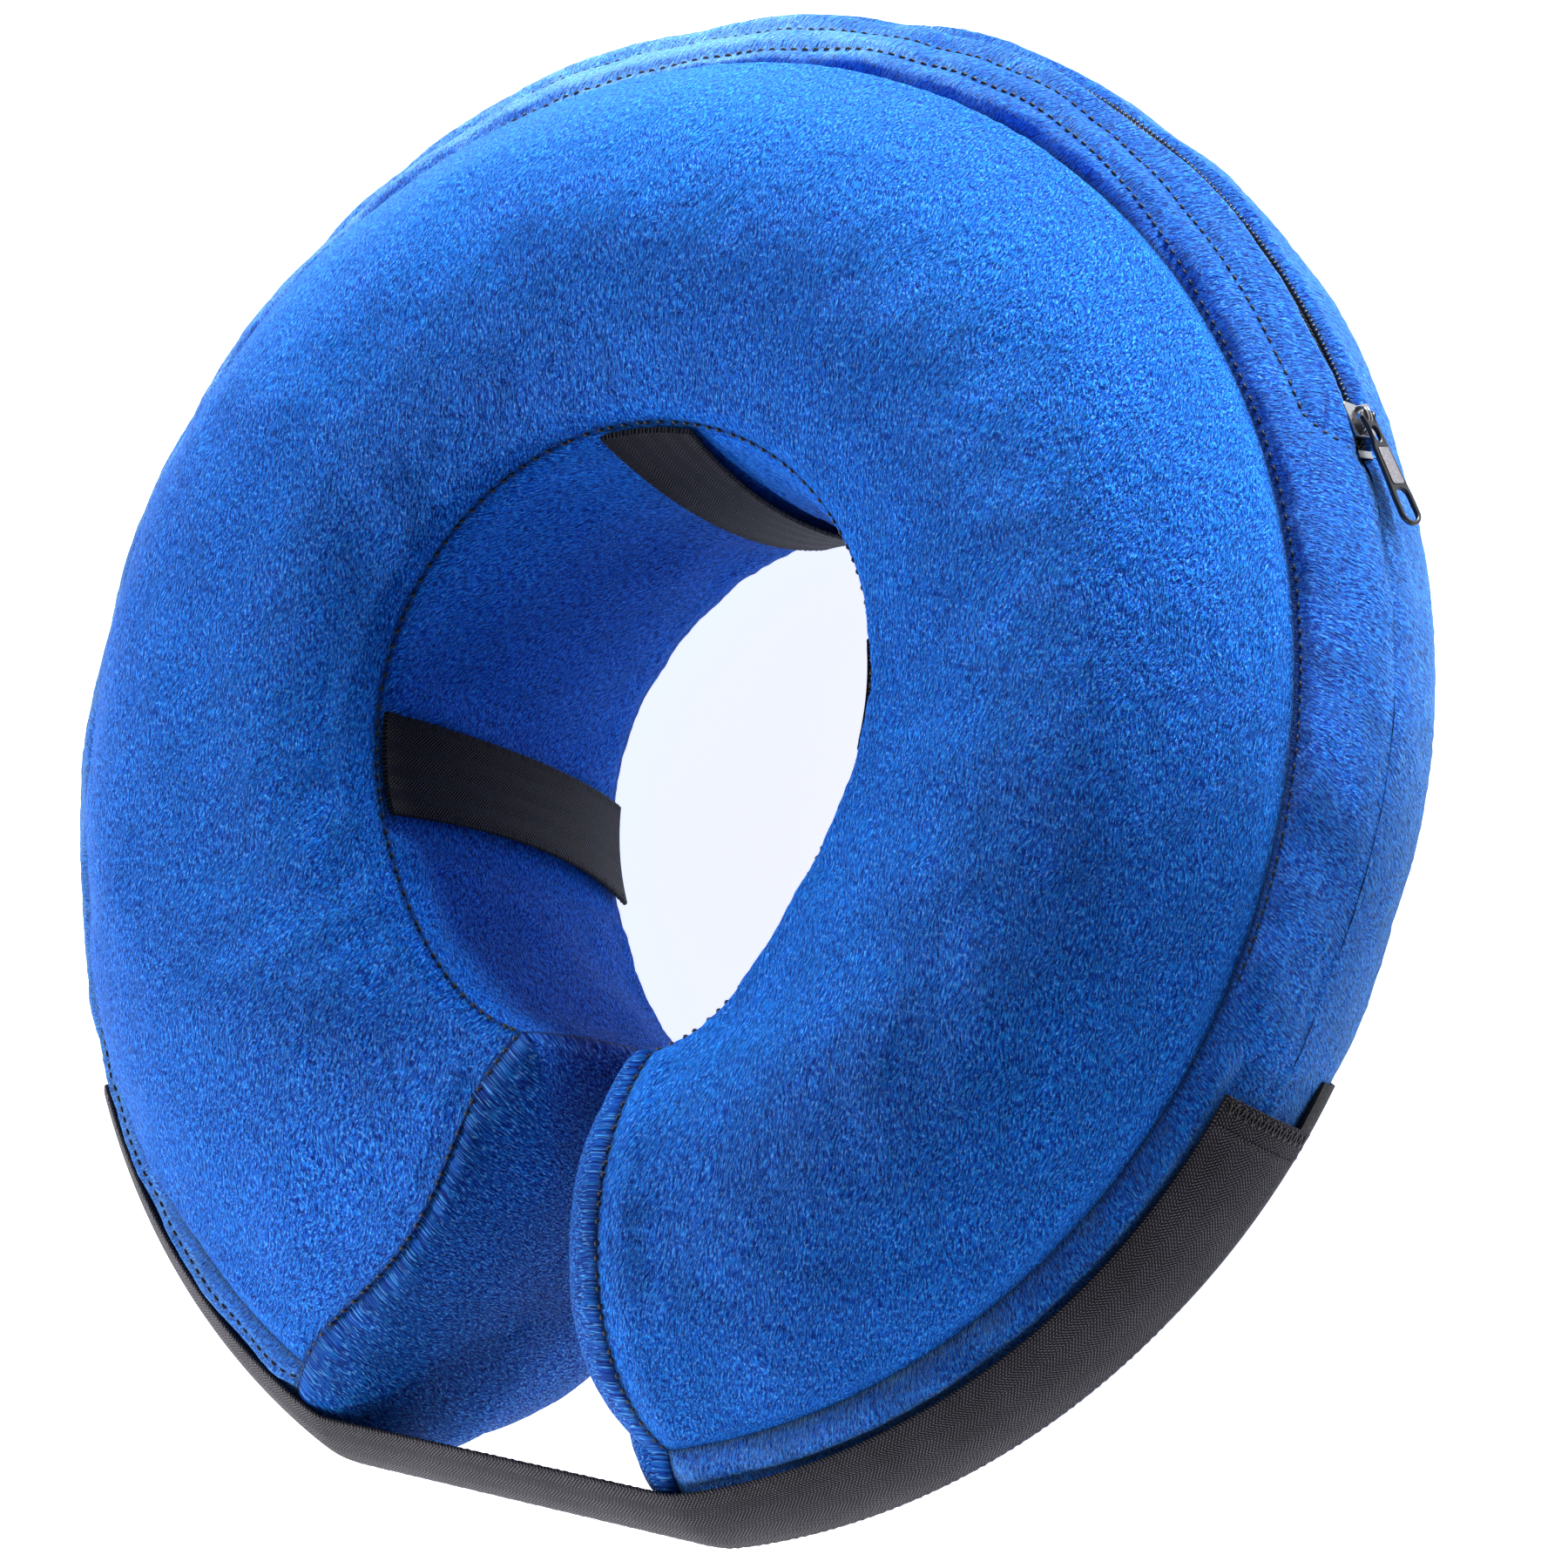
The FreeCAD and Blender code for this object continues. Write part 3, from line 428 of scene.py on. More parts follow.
METAL = grained("gunmetal", (0.30, 0.31, 0.33), rough=0.28, metal=1.0, scale=600.0, bump_depth=0.00005,
                spread=0.12)
TAB_METAL = grained("gunmetal_dark", (0.05, 0.05, 0.055), rough=0.33, metal=1.0, scale=700.0,
                    bump_depth=0.00005, spread=0.15)
PALE_METAL = grained("zinc_matte", (0.17, 0.165, 0.185), rough=0.55, metal=0.3, scale=1800.0,
                     bump_depth=0.0001, spread=0.25)
VINYL = grained("clear_vinyl", (0.78, 0.84, 0.88), rough=0.18, scale=200.0, spread=0.05)
VALVE = grained("valve_plastic", (0.72, 0.76, 0.80), rough=0.30, scale=400.0, spread=0.05)

# ---------------------------------------------------------------- cloth simulation of the cover

ROWS = 560
COLUMNS = {"front": 78, "outer_front": 20, "outer_rear": 29, "rear": 78, "neck": 64}
ANGLES = np.linspace(RIGHT, LEFT, ROWS + 1)
for cut in (BEND_START, BEND_END):
    ANGLES[np.argmin(abs(ANGLES - cut))] = cut
SIM_ROWS, SIM_FRAMES, SIM_SWELL = 110, 20, 0.9
SIM_DOME = (0.9, 0.75, 0.55, 0.3)
CLOTH = {
    "quality": 6, "mass": 0.25, "tension_stiffness": 20, "compression_stiffness": 20,
    "shear_stiffness": 8, "bending_stiffness": 0.2, "vertex_group_mass": "pins",
    "use_pressure": True, "uniform_pressure_force": 4.0, "shrink_min": -0.05,
}
WRINKLE_SHARE, WRINKLE_LIMIT = 0.42, 3.0
SIM_COLUMNS = {"front": 20, "outer_front": 5, "outer_rear": 7, "rear": 20, "neck": 17}


def dome_rings(angle, out, local, steps):
    """Rings of the rounded end, from its seam to its middle."""
    rings = []
    for k in steps:
        push = out * DOME_DEPTH * (1.0 - k**3) ** 0.55
        at = np.full(local.shape[:-1], angle)
        rings.append(place(at, local, k, np.full(local.shape[:-1], push)))
    return np.stack(rings)


def end_outline(angle, columns, swell=1.0):
    """The whole section outline as local points, once round, with no point twice."""
    parts = []
    for side, count in columns.items():
        share = np.linspace(0, 1, count + 1)[:-1]
        parts.append(section(side, np.full(count, angle), share, swell))
    return np.concatenate(parts)


def simulate():
    """Inflate a coarse copy of the cover as cloth held at its seams; returns its wrinkles."""
    angles = np.linspace(RIGHT, LEFT, SIM_ROWS + 1)
    start = [surface(side, angles, np.linspace(0, 1, n + 1)[:-1], SIM_SWELL)
             for side, n in SIM_COLUMNS.items()]
    tube = np.concatenate(start, 1)
    columns = tube.shape[1]
    around = np.arange(columns)
    verts, quads, fans = [tube.reshape(-1, 3)], [grid_faces(SIM_ROWS + 1, columns, wrap=True)], []
    count = len(verts[0])
    for angle, out, row in ((RIGHT, -1.0, 0), (LEFT, 1.0, SIM_ROWS)):
        rings = dome_rings(angle, out, end_outline(angle, SIM_COLUMNS, SIM_SWELL), SIM_DOME)
        chain = [around + row * columns] + [around + count + k * columns for k in range(len(SIM_DOME))]
        for low, high in zip(chain, chain[1:]):
            quad = np.stack([low, np.roll(low, -1), np.roll(high, -1), high], -1)
            quads.append(quad if out > 0 else quad[:, ::-1])
        verts += [rings.reshape(-1, 3), rings[-1].mean(0)[None]]
        count += len(SIM_DOME) * columns
        fan = np.stack([chain[-1], np.roll(chain[-1], -1), np.full(columns, count)], -1)
        fans.append(fan if out > 0 else fan[:, [1, 0, 2]])
        count += 1
    mesh = bpy.data.meshes.new("sim")
    allverts = np.concatenate(verts)
    faces = np.concatenate(quads).tolist() + np.concatenate(fans).tolist()
    mesh.from_pydata((allverts * MM).tolist(), [], faces)
    obj = bpy.data.objects.new("sim", mesh)
    scene = bpy.context.scene
    scene.collection.objects.link(obj)
    pins = obj.vertex_groups.new(name="pins")
    seams = np.cumsum([0] + list(SIM_COLUMNS.values()))[:-1]
    held = [r * columns + c for r in range(SIM_ROWS + 1) for c in seams[[0, 1, 3, 4]]]
    held += [r * columns + c for r in (0, SIM_ROWS) for c in range(columns)]
    pins.add(sorted(set(int(h) for h in held)), 1.0, "REPLACE")
    cloth = obj.modifiers.new("cloth", "CLOTH")
    for key, value in CLOTH.items():
        setattr(cloth.settings, key, value)
    cloth.settings.effector_weights.gravity = 0.0
    cloth.point_cache.frame_start, cloth.point_cache.frame_end = 1, SIM_FRAMES
    for step in range(1, SIM_FRAMES + 1):
        scene.frame_set(step)
    after = obj.evaluated_get(bpy.context.evaluated_depsgraph_get()).to_mesh()
    moved = np.empty(len(allverts) * 3, np.float32)
    after.vertices.foreach_get("co", moved)
    obj.evaluated_get(bpy.context.evaluated_depsgraph_get()).to_mesh_clear()
    bpy.data.objects.remove(obj)
    bpy.data.meshes.remove(mesh)
    scene.frame_set(1)
    change = moved.reshape(-1, 3) / MM - allverts
    return change[: len(verts[0])].reshape(SIM_ROWS + 1, columns, 3)


def blur(field, passes, axis):
    """Soften a field along one axis, with its ends held."""
    for _ in range(passes):
        low = np.concatenate([field.take([0], axis), field], axis)
        high = np.concatenate([field, field.take([-1], axis)], axis)
        n = field.shape[axis]
        field = 0.5 * field + 0.25 * low.take(range(n), axis) + 0.25 * high.take(range(1, n + 1), axis)
    return field


def spline_weights(count, at):
    """Rows of cubic B-spline weights that read an evenly spaced list of values at some places."""
    weights = np.zeros((len(at), count))
    base = np.floor(at).astype(int)
    t = at - base
    parts = ((1 - t)**3 / 6, (3 * t**3 - 6 * t**2 + 4) / 6,
             (-3 * t**3 + 3 * t**2 + 3 * t + 1) / 6, t**3 / 6)
    for offset, w in zip((-1, 0, 1, 2), parts):
        np.add.at(weights, (np.arange(len(at)), np.clip(base + offset, 0, count - 1)), w)
    return weights


def wrinkles():
    """Outward wrinkle height of each panel on its fine grid, from the simulated cloth."""
    change = simulate()
    angles = np.linspace(RIGHT, LEFT, SIM_ROWS + 1)
    result, first = {}, 0
    closed = np.concatenate([change, change[:, :1]], 1)
    for side, n in SIM_COLUMNS.items():
        points = surface(side, angles, np.linspace(0, 1, n + 1))
        height = (closed[:, first:first + n + 1] * grid_normals(points)).sum(-1)
        first += n
        height = height - blur(blur(height, 24, 0), 6, 1)
        height = WRINKLE_SHARE * np.clip(height, -WRINKLE_LIMIT, WRINKLE_LIMIT)
        rows = spline_weights(SIM_ROWS + 1, (ANGLES - RIGHT) / (LEFT - RIGHT) * SIM_ROWS)
        cols = spline_weights(n + 1, np.linspace(0, n, COLUMNS[side] + 1))
        result[side] = rows @ height @ cols.T
    return result


WRINKLES = wrinkles()

# ---------------------------------------------------------------- the plush cover

SEAM_DEPTH, SEAM_WIDTH, SEAM_BOW = 1.35, 2.4, 5.0
SEAM_PUFF, SEAM_FUZZ, ROLLED_EDGE, GATHER = 0.7, 0.55, 0.9, 0.42
LEFT_SAG = 8.0
# STITCH_SHADE is the strength of the painted shade in the topstitch furrows
STITCH_FURROW, STITCH_SHADE = 1.15, 0.25
KEEPER_PRESS, STRAP_PRESS, STRAP_RIDGE = 0.7, 0.75, 0.7
LIP_DEPTH, LIP_RIM, LIP_WIDTH, CLOSED_DEPTH = 2.7, 0.8, 1.7, 0.35
LIP_OPEN, LIP_OPEN_AT_SLIDER = 0.75, 0.9
FLOOR_CLEARANCE = 0.12
TUFTS = ((0.16, (9.0, 3.2), 11.0), (0.24, (5.0, 1.9), 37.0))  # height, cells along and across, seed
RUMPLE = ((0.35, (48.0, 40.0), 5.0),)
LIE_ACROSS = {"outer_front": 0.4, "outer_rear": 0.4, "neck": 0.8}


def hump(distance, width):
    """Bell curve, 1 at no distance."""
    return np.exp(-((distance / width) ** 2))


def groove(distance):
    """How deep a seam draws the cover in."""
    return SEAM_DEPTH * np.exp(-((distance / SEAM_WIDTH) ** 2) ** 0.75)


def running_length(points, axis):
    """Length in mm along the grid from its first row or column."""
    step = np.linalg.norm(np.diff(points, axis=axis), axis=-1)
    start = np.zeros_like(step.take([0], axis=axis))
    return np.concatenate([start, np.cumsum(step, axis)], axis)


def inward(angle, points):
    """Unit vectors from surface points towards the core of their section."""
    a, along, width = station(angle)
    core = 0.5 * (width + OUTER_BULGE - NECK_BULGE)
    xy = a + along * core[..., None]
    return normalised(np.concatenate([xy, np.full(xy.shape[:-1] + (1,), MIDDLE)], -1) - points)


def rest_on_floor(points):
    """Press whatever would go under the resting plane flat against it."""
    z = points[..., 2]
    points[..., 2] = FLOOR_CLEARANCE + 0.5 * (z + np.sqrt(z * z + 0.8))
    return points


def zip_range(th):
    """1 along the zipper, 0 beyond its stops."""
    return smooth(ZIP_START - 2.2, ZIP_START + 0.3, th) * (1 - smooth(ZIP_STOP - 0.3, ZIP_STOP + 2.2, th))


def topstitch_turn(row, th):
    """Turn on the outer band of each of the two rows of topstitching."""
    if row == 1:
        below = 2.5 + 14.0 * smooth(44.0, 74.0, th) * (1.0 - 0.5 * smooth(80.0, 110.0, th))
        return seam_turn(th) - below
    base = 51.0 - 11.0 * smooth(48.0, 74.0, th)
    return base - (base - ZIP_TURN) * (1.0 - smooth(30.0, 36.5, th)) ** 1.6


def pile_lie(side, base):
    """The way the pile lies on a panel, for the tufts that are real geometry."""
    if side not in LIE_ACROSS:
        return np.array([0.0, 1.0, 0.0])
    along, across = (normalised(np.gradient(base, axis=axis)) for axis in (0, 1))
    return normalised(along + LIE_ACROSS[side] * across)


def gathers(side, th, first, last):
    """Puckers where the cover is gathered at the neck seams."""
    seam = {"front": first, "rear": last, "neck": np.minimum(first, last)}[side]
    lap = np.radians(th) * NECK_RADIUS
    wave = np.sin(lap / 4.1 + 1.6 * np.sin(lap / 13.0)) * (0.55 + 0.45 * np.sin(lap / 29.0 + 1.0))
    return GATHER * wave * np.exp(-seam / 6.0)


def press_keepers(th, lift):
    """Flatten the neck band behind each keeper."""
    for angle in LOOP_ANGLES.values():
        beside = abs(th - angle) * math.radians(NECK_RADIUS)
        kept = 1.0 - smooth(0.5 * WEB_WIDTH, 0.5 * WEB_WIDTH + 4.0, beside)
        lift = lift * (1.0 - kept) - KEEPER_PRESS * kept
    return lift


def press_strap(th, turn, lift):
    """Flatten the band under the strap and its landing tape, with a ridge beside them."""
    degrees = (th + 360.0) % 360.0
    sewn = smooth(STRAP_LEFT[0] - 1.0, STRAP_LEFT[0] + 1.0, degrees) * (1 - smooth(300, 301, degrees))
    landing = smooth(285, 287, degrees) * (1 - smooth(LANDING_END - 0.5, LANDING_END + 1.0, degrees))
    under = np.maximum(sewn, landing)
    across = smooth(STRAP_LOW - 4.0, STRAP_LOW + 1.0, turn)
    across = across * (1 - smooth(STRAP_HIGH - 1.0, STRAP_HIGH + 4.0, turn))
    pressed = under * across
    lift = lift * (1 - pressed) - STRAP_PRESS * pressed
    return lift + STRAP_RIDGE * (under * hump(turn - STRAP_HIGH - 6.0, 4.0))


def sew_topstitch(th, turn, lift, shade):
    """Furrows of the two rows of topstitching beside the front seam, with painted shade in them."""
    reach = {1: smooth(-12.0, -4.0, th),
             2: smooth(29.0, 31.0, th) * (1 - smooth(165.0, 175.0, th))}
    for row, inside in reach.items():
        gap = (turn - topstitch_turn(row, th)) * math.radians(1) * MINOR
        lift = lift - STITCH_FURROW * inside * hump(gap, 1.5)
        shade = np.maximum(shade, STITCH_SHADE * inside * hump(gap, 0.7))
    return lift, shade


def open_zipper(side, base, th, turn, lift, shade):
    """Part the two strips along the zipper, wider under the slider at either stop, with painted shade along
    the parting.
    """
    line = (turn - ZIP_TURN) * math.radians(1) * MINOR
    inside = zip_range(th)
    lip = hump(line, LIP_WIDTH)
    lift = lift * (1 - 0.8 * lip * inside) - LIP_DEPTH * inside * lip
    lift = lift + LIP_RIM * inside * hump(abs(line) - 3.6, LIP_WIDTH)
    lift = lift - CLOSED_DEPTH * (1 - inside) * hump(line, 1.2)
    sideways = np.where(turn > ZIP_TURN, -1.0, 1.0)
    sideways[abs(turn - ZIP_TURN) < 1e-6] = -1.0 if side == "outer_front" else 1.0
    from_slider = np.minimum(abs(th - SLIDER_ANGLE), abs(th - SLIDER_ANGLE - ZIP_TRAVEL))
    parted = LIP_OPEN + LIP_OPEN_AT_SLIDER * hump(from_slider, 1.6)
    across = normalised(np.gradient(base, axis=1))
    base = base + (sideways * parted * inside * lip)[..., None] * across
    return base, lift, np.maximum(shade, inside * hump(line, 1.3))


def panel_points(side):
    """Angle, place and painted seam shade of each grid point of one panel of the cover."""
    shares = np.linspace(0, 1, COLUMNS[side] + 1)
    th, sh = np.meshgrid(ANGLES, shares, indexing="ij")
    base = surface(side, ANGLES, shares)
    if side == "front":
        reached = th + SEAM_BOW * np.sin(np.pi * sh) ** 2 * smooth(LEFT - 16.0, LEFT, th)
        base = place(reached, section(side, reached, sh), 1.0, np.zeros_like(th))
    normal = grid_normals(base)
    first, right_end = (running_length(base, axis) for axis in (1, 0))
    last, left_end = first[:, -1:] - first, right_end[-1:] - right_end
    seams = {"outer_front": (first,), "outer_rear": (last,)}.get(side, (first, last))
    nearest = np.minimum.reduce([right_end, left_end, *seams])
    lift = WRINKLES[side] + SEAM_PUFF * hump(nearest - 7.0, 3.5)
    if side in ("front", "neck", "rear"):
        lift = lift + gathers(side, th, first, last)
    lie = pile_lie(side, base)
    for height, cells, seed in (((*TUFTS, *RUMPLE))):
        lift = lift + height * noise_field(base, lie, cells, seed)
    if side == "neck":
        lift = press_keepers(th, lift)
    lift = lift + SEAM_FUZZ * np.exp(-nearest / 4.0) * noise_field(base, normal, (2.4, 2.4), 71.0)
    # painted shade along the seams, which the 'seam' attribute carries into the plush colour
    shade = hump(nearest, 0.9) * 0.9
    if side.startswith("outer"):
        low, high = SIDES[side][3:5]
        turn = seam_turn(th) * (1.0 - 2.0 * (low + (high - low) * sh))
        if side == "outer_front":
            lift, shade = sew_topstitch(th, turn, lift, shade)
            lift = lift + ROLLED_EDGE * hump(first - 2.6, 1.8)
        lift = press_strap(th, turn, lift)
        base, lift, shade = open_zipper(side, base, th, turn, lift, shade)
    free = 1.0 - hump(nearest, 2.2)
    points = base + inward(th, base) * groove(nearest)[..., None] + normal * (lift * free)[..., None]
    return th, rest_on_floor(points), shade


def panel_uv(side, th, points):
    """Flat millimetre places of a panel's points, along which its nap is drawn."""
    run = running_length(points, 1)
    if side in ("front", "rear"):
        if side == "rear":
            run = run[:, -1:] - run
        rho = NECK_RADIUS + run
        return np.stack([rho * np.cos(np.radians(th)), rho * np.sin(np.radians(th))], -1)
    radius = NECK_RADIUS if side == "neck" else OUTER_RADIUS
    return np.stack([run, np.radians(th) * radius], -1)


def bend(obj):
    """Bake a piece's placement into its mesh; it rides on neither the ring nor the left arm."""
    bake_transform(obj)


def ride_zone(obj, zone):
    """Ride on the ring or on the left arm; a bend piece has its placement baked in and rides on neither."""
    if zone == "bend":
        bend(obj)
    else:
        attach(obj, {"ring": "ring", "arm": "left_arm"}[zone])


NODES = {"front": "front_panel", "outer_front": "outer_front_strip", "outer_rear": "outer_rear_strip",
         "rear": "rear_panel", "neck": "neck_band"}
PANEL_MATERIAL = {"front": FACE_PLUSH, "rear": FACE_PLUSH, "outer_front": LIT_BAND_PLUSH,
                  "outer_rear": LIT_BAND_PLUSH, "neck": LIT_NECK_PLUSH}
ZONES = (("ring", RIGHT, BEND_START), ("bend", BEND_START, BEND_END), ("arm", BEND_END, LEFT))
PANELS = {side: panel_points(side) for side in SIDES}


def build_cover():
    """The five panels round the section, each in a ring, a bend and an arm piece."""
    for side, (th, points, seam) in PANELS.items():
        normal = grid_normals(points)
        uv = panel_uv(side, th, points)
        for zone, low, high in ZONES:
            rows = np.where((ANGLES >= low - 1e-6) & (ANGLES <= high + 1e-6))[0]
            cut = slice(rows[0], rows[-1] + 1)
            # the 'seam' attribute carries the painted seam shade
            obj = build(
                f"{NODES[side]}_{zone}", points[cut], grid_faces(len(rows), points.shape[1]),
                PANEL_MATERIAL[side], normal[cut], uv[cut], {"seam": seam[cut]},
            )
            ride_zone(obj, zone)
            if zone != "bend":
                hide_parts(f"{'cover' if zone == 'ring' else 'arm'}_{NODES[side]}")


END_RINGS = 30
END_NAP = np.array([0.0, 0.5, 0.86])
END_RUMPLE, END_TUFT, END_GATHER = 0.8, 0.2, 0.5


def build_end(name, angle, out, row):
    """The rounded end panel, sewn into the ends of the other panels."""
    edge = np.concatenate([PANELS[side][1][row][:-1] for side in SIDES])
    columns = len(edge)
    local = end_outline(angle, COLUMNS)
    steps = np.cos(np.linspace(0, np.pi / 2, END_RINGS + 1))[1:-1] ** 0.8
    flat = np.full(columns, angle)
    rings = []
    bow = edge - place(flat, local, 1.0, np.zeros(columns))
    bow *= smooth(1.5, 5.0, np.linalg.norm(bow, axis=-1))[:, None]
    sag = LEFT_SAG * smooth(40.0, 105.0, local[:, 0]) * smooth(40.0, -25.0, local[:, 1]) if out > 0 else 0.0
    for k in steps:
        push = out * (DOME_DEPTH + 1.6 * k * sag) * (1.0 - k**3) ** 0.55
        ring = place(flat, local, k, np.full(columns, push))
        ring = ring + bow * k**6
        gap = np.linalg.norm(ring - edge, axis=-1)
        ring = ring + inward(flat, ring) * groove(gap)[:, None]
        rings.append(ring)
    points = np.stack([edge] + rings)
    centre = points[-1].mean(0)
    closed = np.concatenate([points, points[:, :1]], 1)
    normal = grid_normals(closed)[:, :-1] * -out
    along = station(np.array(angle))[1]
    facing = np.array([-along[1], along[0], 0.0]) * out
    if (normal[END_RINGS // 2] @ facing).mean() < 0:
        normal = -normal
    gap = np.linalg.norm(points - edge[None], axis=-1)
    free = 1.0 - hump(gap, 2.2)
    lift = END_RUMPLE * noise_field(points, END_NAP, (34.0, 26.0), 3.0)
    lift = lift + END_TUFT * noise_field(points, END_NAP, (7.0, 2.4), 19.0)
    run = np.linalg.norm(np.diff(edge, axis=0, append=edge[:1]), axis=-1).cumsum()
    lift = lift + END_GATHER * np.sin(run / 4.3 + 1.7 * np.sin(run / 11.0))[None] * np.exp(-gap / 7.0)
    points = rest_on_floor(points + normal * (lift * free)[..., None])
    points[0] = edge
    closed = np.concatenate([points, points[:, :1]], 1)
    fresh = grid_normals(closed)[:, :-1]
    fresh *= np.sign((fresh * normal).sum(-1, keepdims=True))
    verts = np.concatenate([points.reshape(-1, 3), centre[None] + facing * 0.02])
    normals = np.concatenate([fresh.reshape(-1, 3), facing[None]])
    quads = grid_faces(len(points), columns, wrap=True)
    last = (len(points) - 1) * columns + np.arange(columns)
    tip = np.full(columns, len(verts) - 1)
    fan = np.stack([last, np.roll(last, -1), tip], -1)
    if out < 0:
        quads, fan = quads[:, ::-1], fan[:, [1, 0, 2]]
    side_axis = np.array([along[0], along[1], 0.0])
    uv = np.stack([verts @ side_axis, verts[:, 2]], -1)
    # painted shade along the end seam, carried by the 'seam' attribute
    seam = np.append(0.9 * hump(gap, 0.9), 0.0)
    return build(name, verts, quads.tolist() + fan.tolist(), SHADED_END_PLUSH, normals, uv, {"seam": seam})


build_cover()
for end_name, end_angle, end_out, end_row, end_body in (
    ("right", RIGHT, -1.0, 0, "ring"), ("left", LEFT, 1.0, -1, "left_arm"),
):
    end_obj = build_end(f"end_face_{end_name}", end_angle, end_out, end_row)
    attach(end_obj, end_body)
    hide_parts(f"end_panel_{end_name}")

# ---------------------------------------------------------------- the bladder inside

BLADDER_LEVEL = 0.90
BLADDER_ROWS, BLADDER_COLUMNS = 24, 8


def build_bladder():
    """A closed bag just inside the cover, in the same three zones."""
    shares = np.linspace(0, 1, BLADDER_COLUMNS + 1)[:-1]
    for zone, low, high in ZONES:
        columns = []
        for side in SIDES:
            th, sh = np.meshgrid(np.linspace(low, high, BLADDER_ROWS), shares, indexing="ij")
            columns.append(place(th, section(side, th, sh), BLADDER_LEVEL, np.zeros_like(th)))
        bag = np.concatenate(columns, 1)
        rows, cols = bag.shape[:2]
        verts = np.concatenate([bag.reshape(-1, 3), bag[0].mean(0)[None], bag[-1].mean(0)[None]])
        faces = grid_faces(rows, cols, wrap=True).tolist()
        for start, tip, turn in ((0, len(verts) - 2, -1), ((rows - 1) * cols, len(verts) - 1, 1)):
            ring = np.arange(cols) + start
            faces += np.stack([ring, np.roll(ring, -1), np.full(cols, tip)][::turn], -1).tolist()
        obj = build(f"bladder_{zone}", verts, faces, VINYL, uv=verts[:, :2])
        ride_zone(obj, zone)
        if zone == "ring":
            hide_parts("bladder_front_sheet", "bladder_rear_sheet")
        if zone == "arm":
            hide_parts("arm_bladder_front_sheet", "arm_bladder_rear_sheet")


build_bladder()

# ---------------------------------------------------------------- webbing


def band_point(angle, radius, turn, centre=np.zeros(2)):
    """Point over the strapped outer band at an angle round the ring and a turn up its arc."""
    reach = STRAPPED_CENTRE + radius * np.cos(np.radians(turn))
    xy = reach[..., None] * unit(angle) + centre
    return np.concatenate([xy, (MIDDLE + radius * np.sin(np.radians(turn)))[..., None]], -1)


PROFILE_ACROSS = 26
BEAD_RISE, BEAD_PITCH = 0.12, 0.95
HEM_LENGTH, HEM_RISE, FOLD_HALF = 9.0, 0.55, 4.5


SELVEDGE = 3
SELVEDGE_SHARE = ((0.012, 0.75), (0.016, 0.5), (0.012, 0.25))


def web_section():
    """Closed outline of webbing as (share across, share through), with beaded selvedges."""
    across = np.linspace(0.0, 1.0, PROFILE_ACROSS + 1)
    top, bottom = [(a, 1.0) for a in across], [(a, 0.0) for a in across[::-1]]
    far = [(1.0 + out, through) for out, through in SELVEDGE_SHARE]
    near = [(-out, 1.0 - through) for out, through in SELVEDGE_SHARE]
    return np.array(top + far + bottom + near)


def turned_out(face, verts, norms):
    """The face wound so that it looks the way its points' normals do."""
    a, b, c = (verts[face[k]] for k in (0, 1, 2))
    looks = np.cross(b - a, c - a) @ norms[face].mean(0)
    return face if looks >= 0 else face[::-1]


def end_faces(ids):
    """Faces that close one end of webbing, and the small ones at its two selvedges."""
    half = PROFILE_ACROSS + 1
    top, far = ids[:half], ids[half:half + SELVEDGE]
    bottom, near = ids[half + SELVEDGE:2 * half + SELVEDGE][::-1], ids[2 * half + SELVEDGE:]
    across = np.stack([top[:-1], top[1:], bottom[1:], bottom[:-1]], -1).tolist()
    edges = [[top[-1], far[0], far[1], bottom[-1]], [far[1], far[2], bottom[-1]],
             [bottom[0], near[0], near[1], top[0]], [near[1], near[2], top[0]]]
    return across, [[int(v) for v in face] for face in edges]


def web_object(name, points, lengths, material, normal, caps=(True, True)):
    """A length of webbing from its section rows, with either end closed or left open."""
    rows, cols = points.shape[:2]
    uv = np.stack(np.broadcast_arrays(web_section()[None, :, 0] * WEB_WIDTH, lengths[:, None]), -1)
    verts, norms, uvs = [points.reshape(-1, 3)], [normal.reshape(-1, 3)], [uv.reshape(-1, 2)]
    faces, edges = grid_faces(rows, cols, wrap=True).tolist(), []
    for closed, row, inner in zip(caps, (0, rows - 1), (1, rows - 2)):
        if closed:
            outward = (points[row] - points[inner]).mean(0)
            first = sum(len(part) for part in verts)
            across, corners = end_faces(np.arange(cols) + first)
            faces += across
            edges += corners
            verts.append(points[row])
            norms.append(np.repeat(outward[None] / np.linalg.norm(outward), cols, 0))
            uvs.append(uv[row])
    verts, norms = np.concatenate(verts), np.concatenate(norms)
    faces = [turned_out(face, verts, norms) for face in faces + edges]
    return build(name, verts, faces, material, norms, np.concatenate(uvs))


def web_normals(points):
    """Outward normals of the rows of a closed section."""
    du = np.gradient(points, axis=0)
    wrapped = np.concatenate([points[:, -1:], points, points[:, :1]], 1)
    dv = (wrapped[:, 2:] - wrapped[:, :-2]) / 2.0
    n = np.cross(du, dv)
    n /= np.maximum(np.linalg.norm(n, axis=-1, keepdims=True), 1e-9)
    centre = points.mean(1, keepdims=True)
    flip = np.sign(((points - centre) * n).sum(-1).mean())
    return n * flip


def selvedge_beads(rows, lengths, normal):
    """Rows with the small beads that the weft makes along both selvedges."""
    outline = web_section()
    ripple = BEAD_RISE * np.sin(lengths / BEAD_PITCH * math.pi)[:, None]
    edge = (np.minimum(outline[:, 0], 1 - outline[:, 0]) < 0.045).astype(float)[None]
    return rows + normal * (ripple * edge)[..., None]


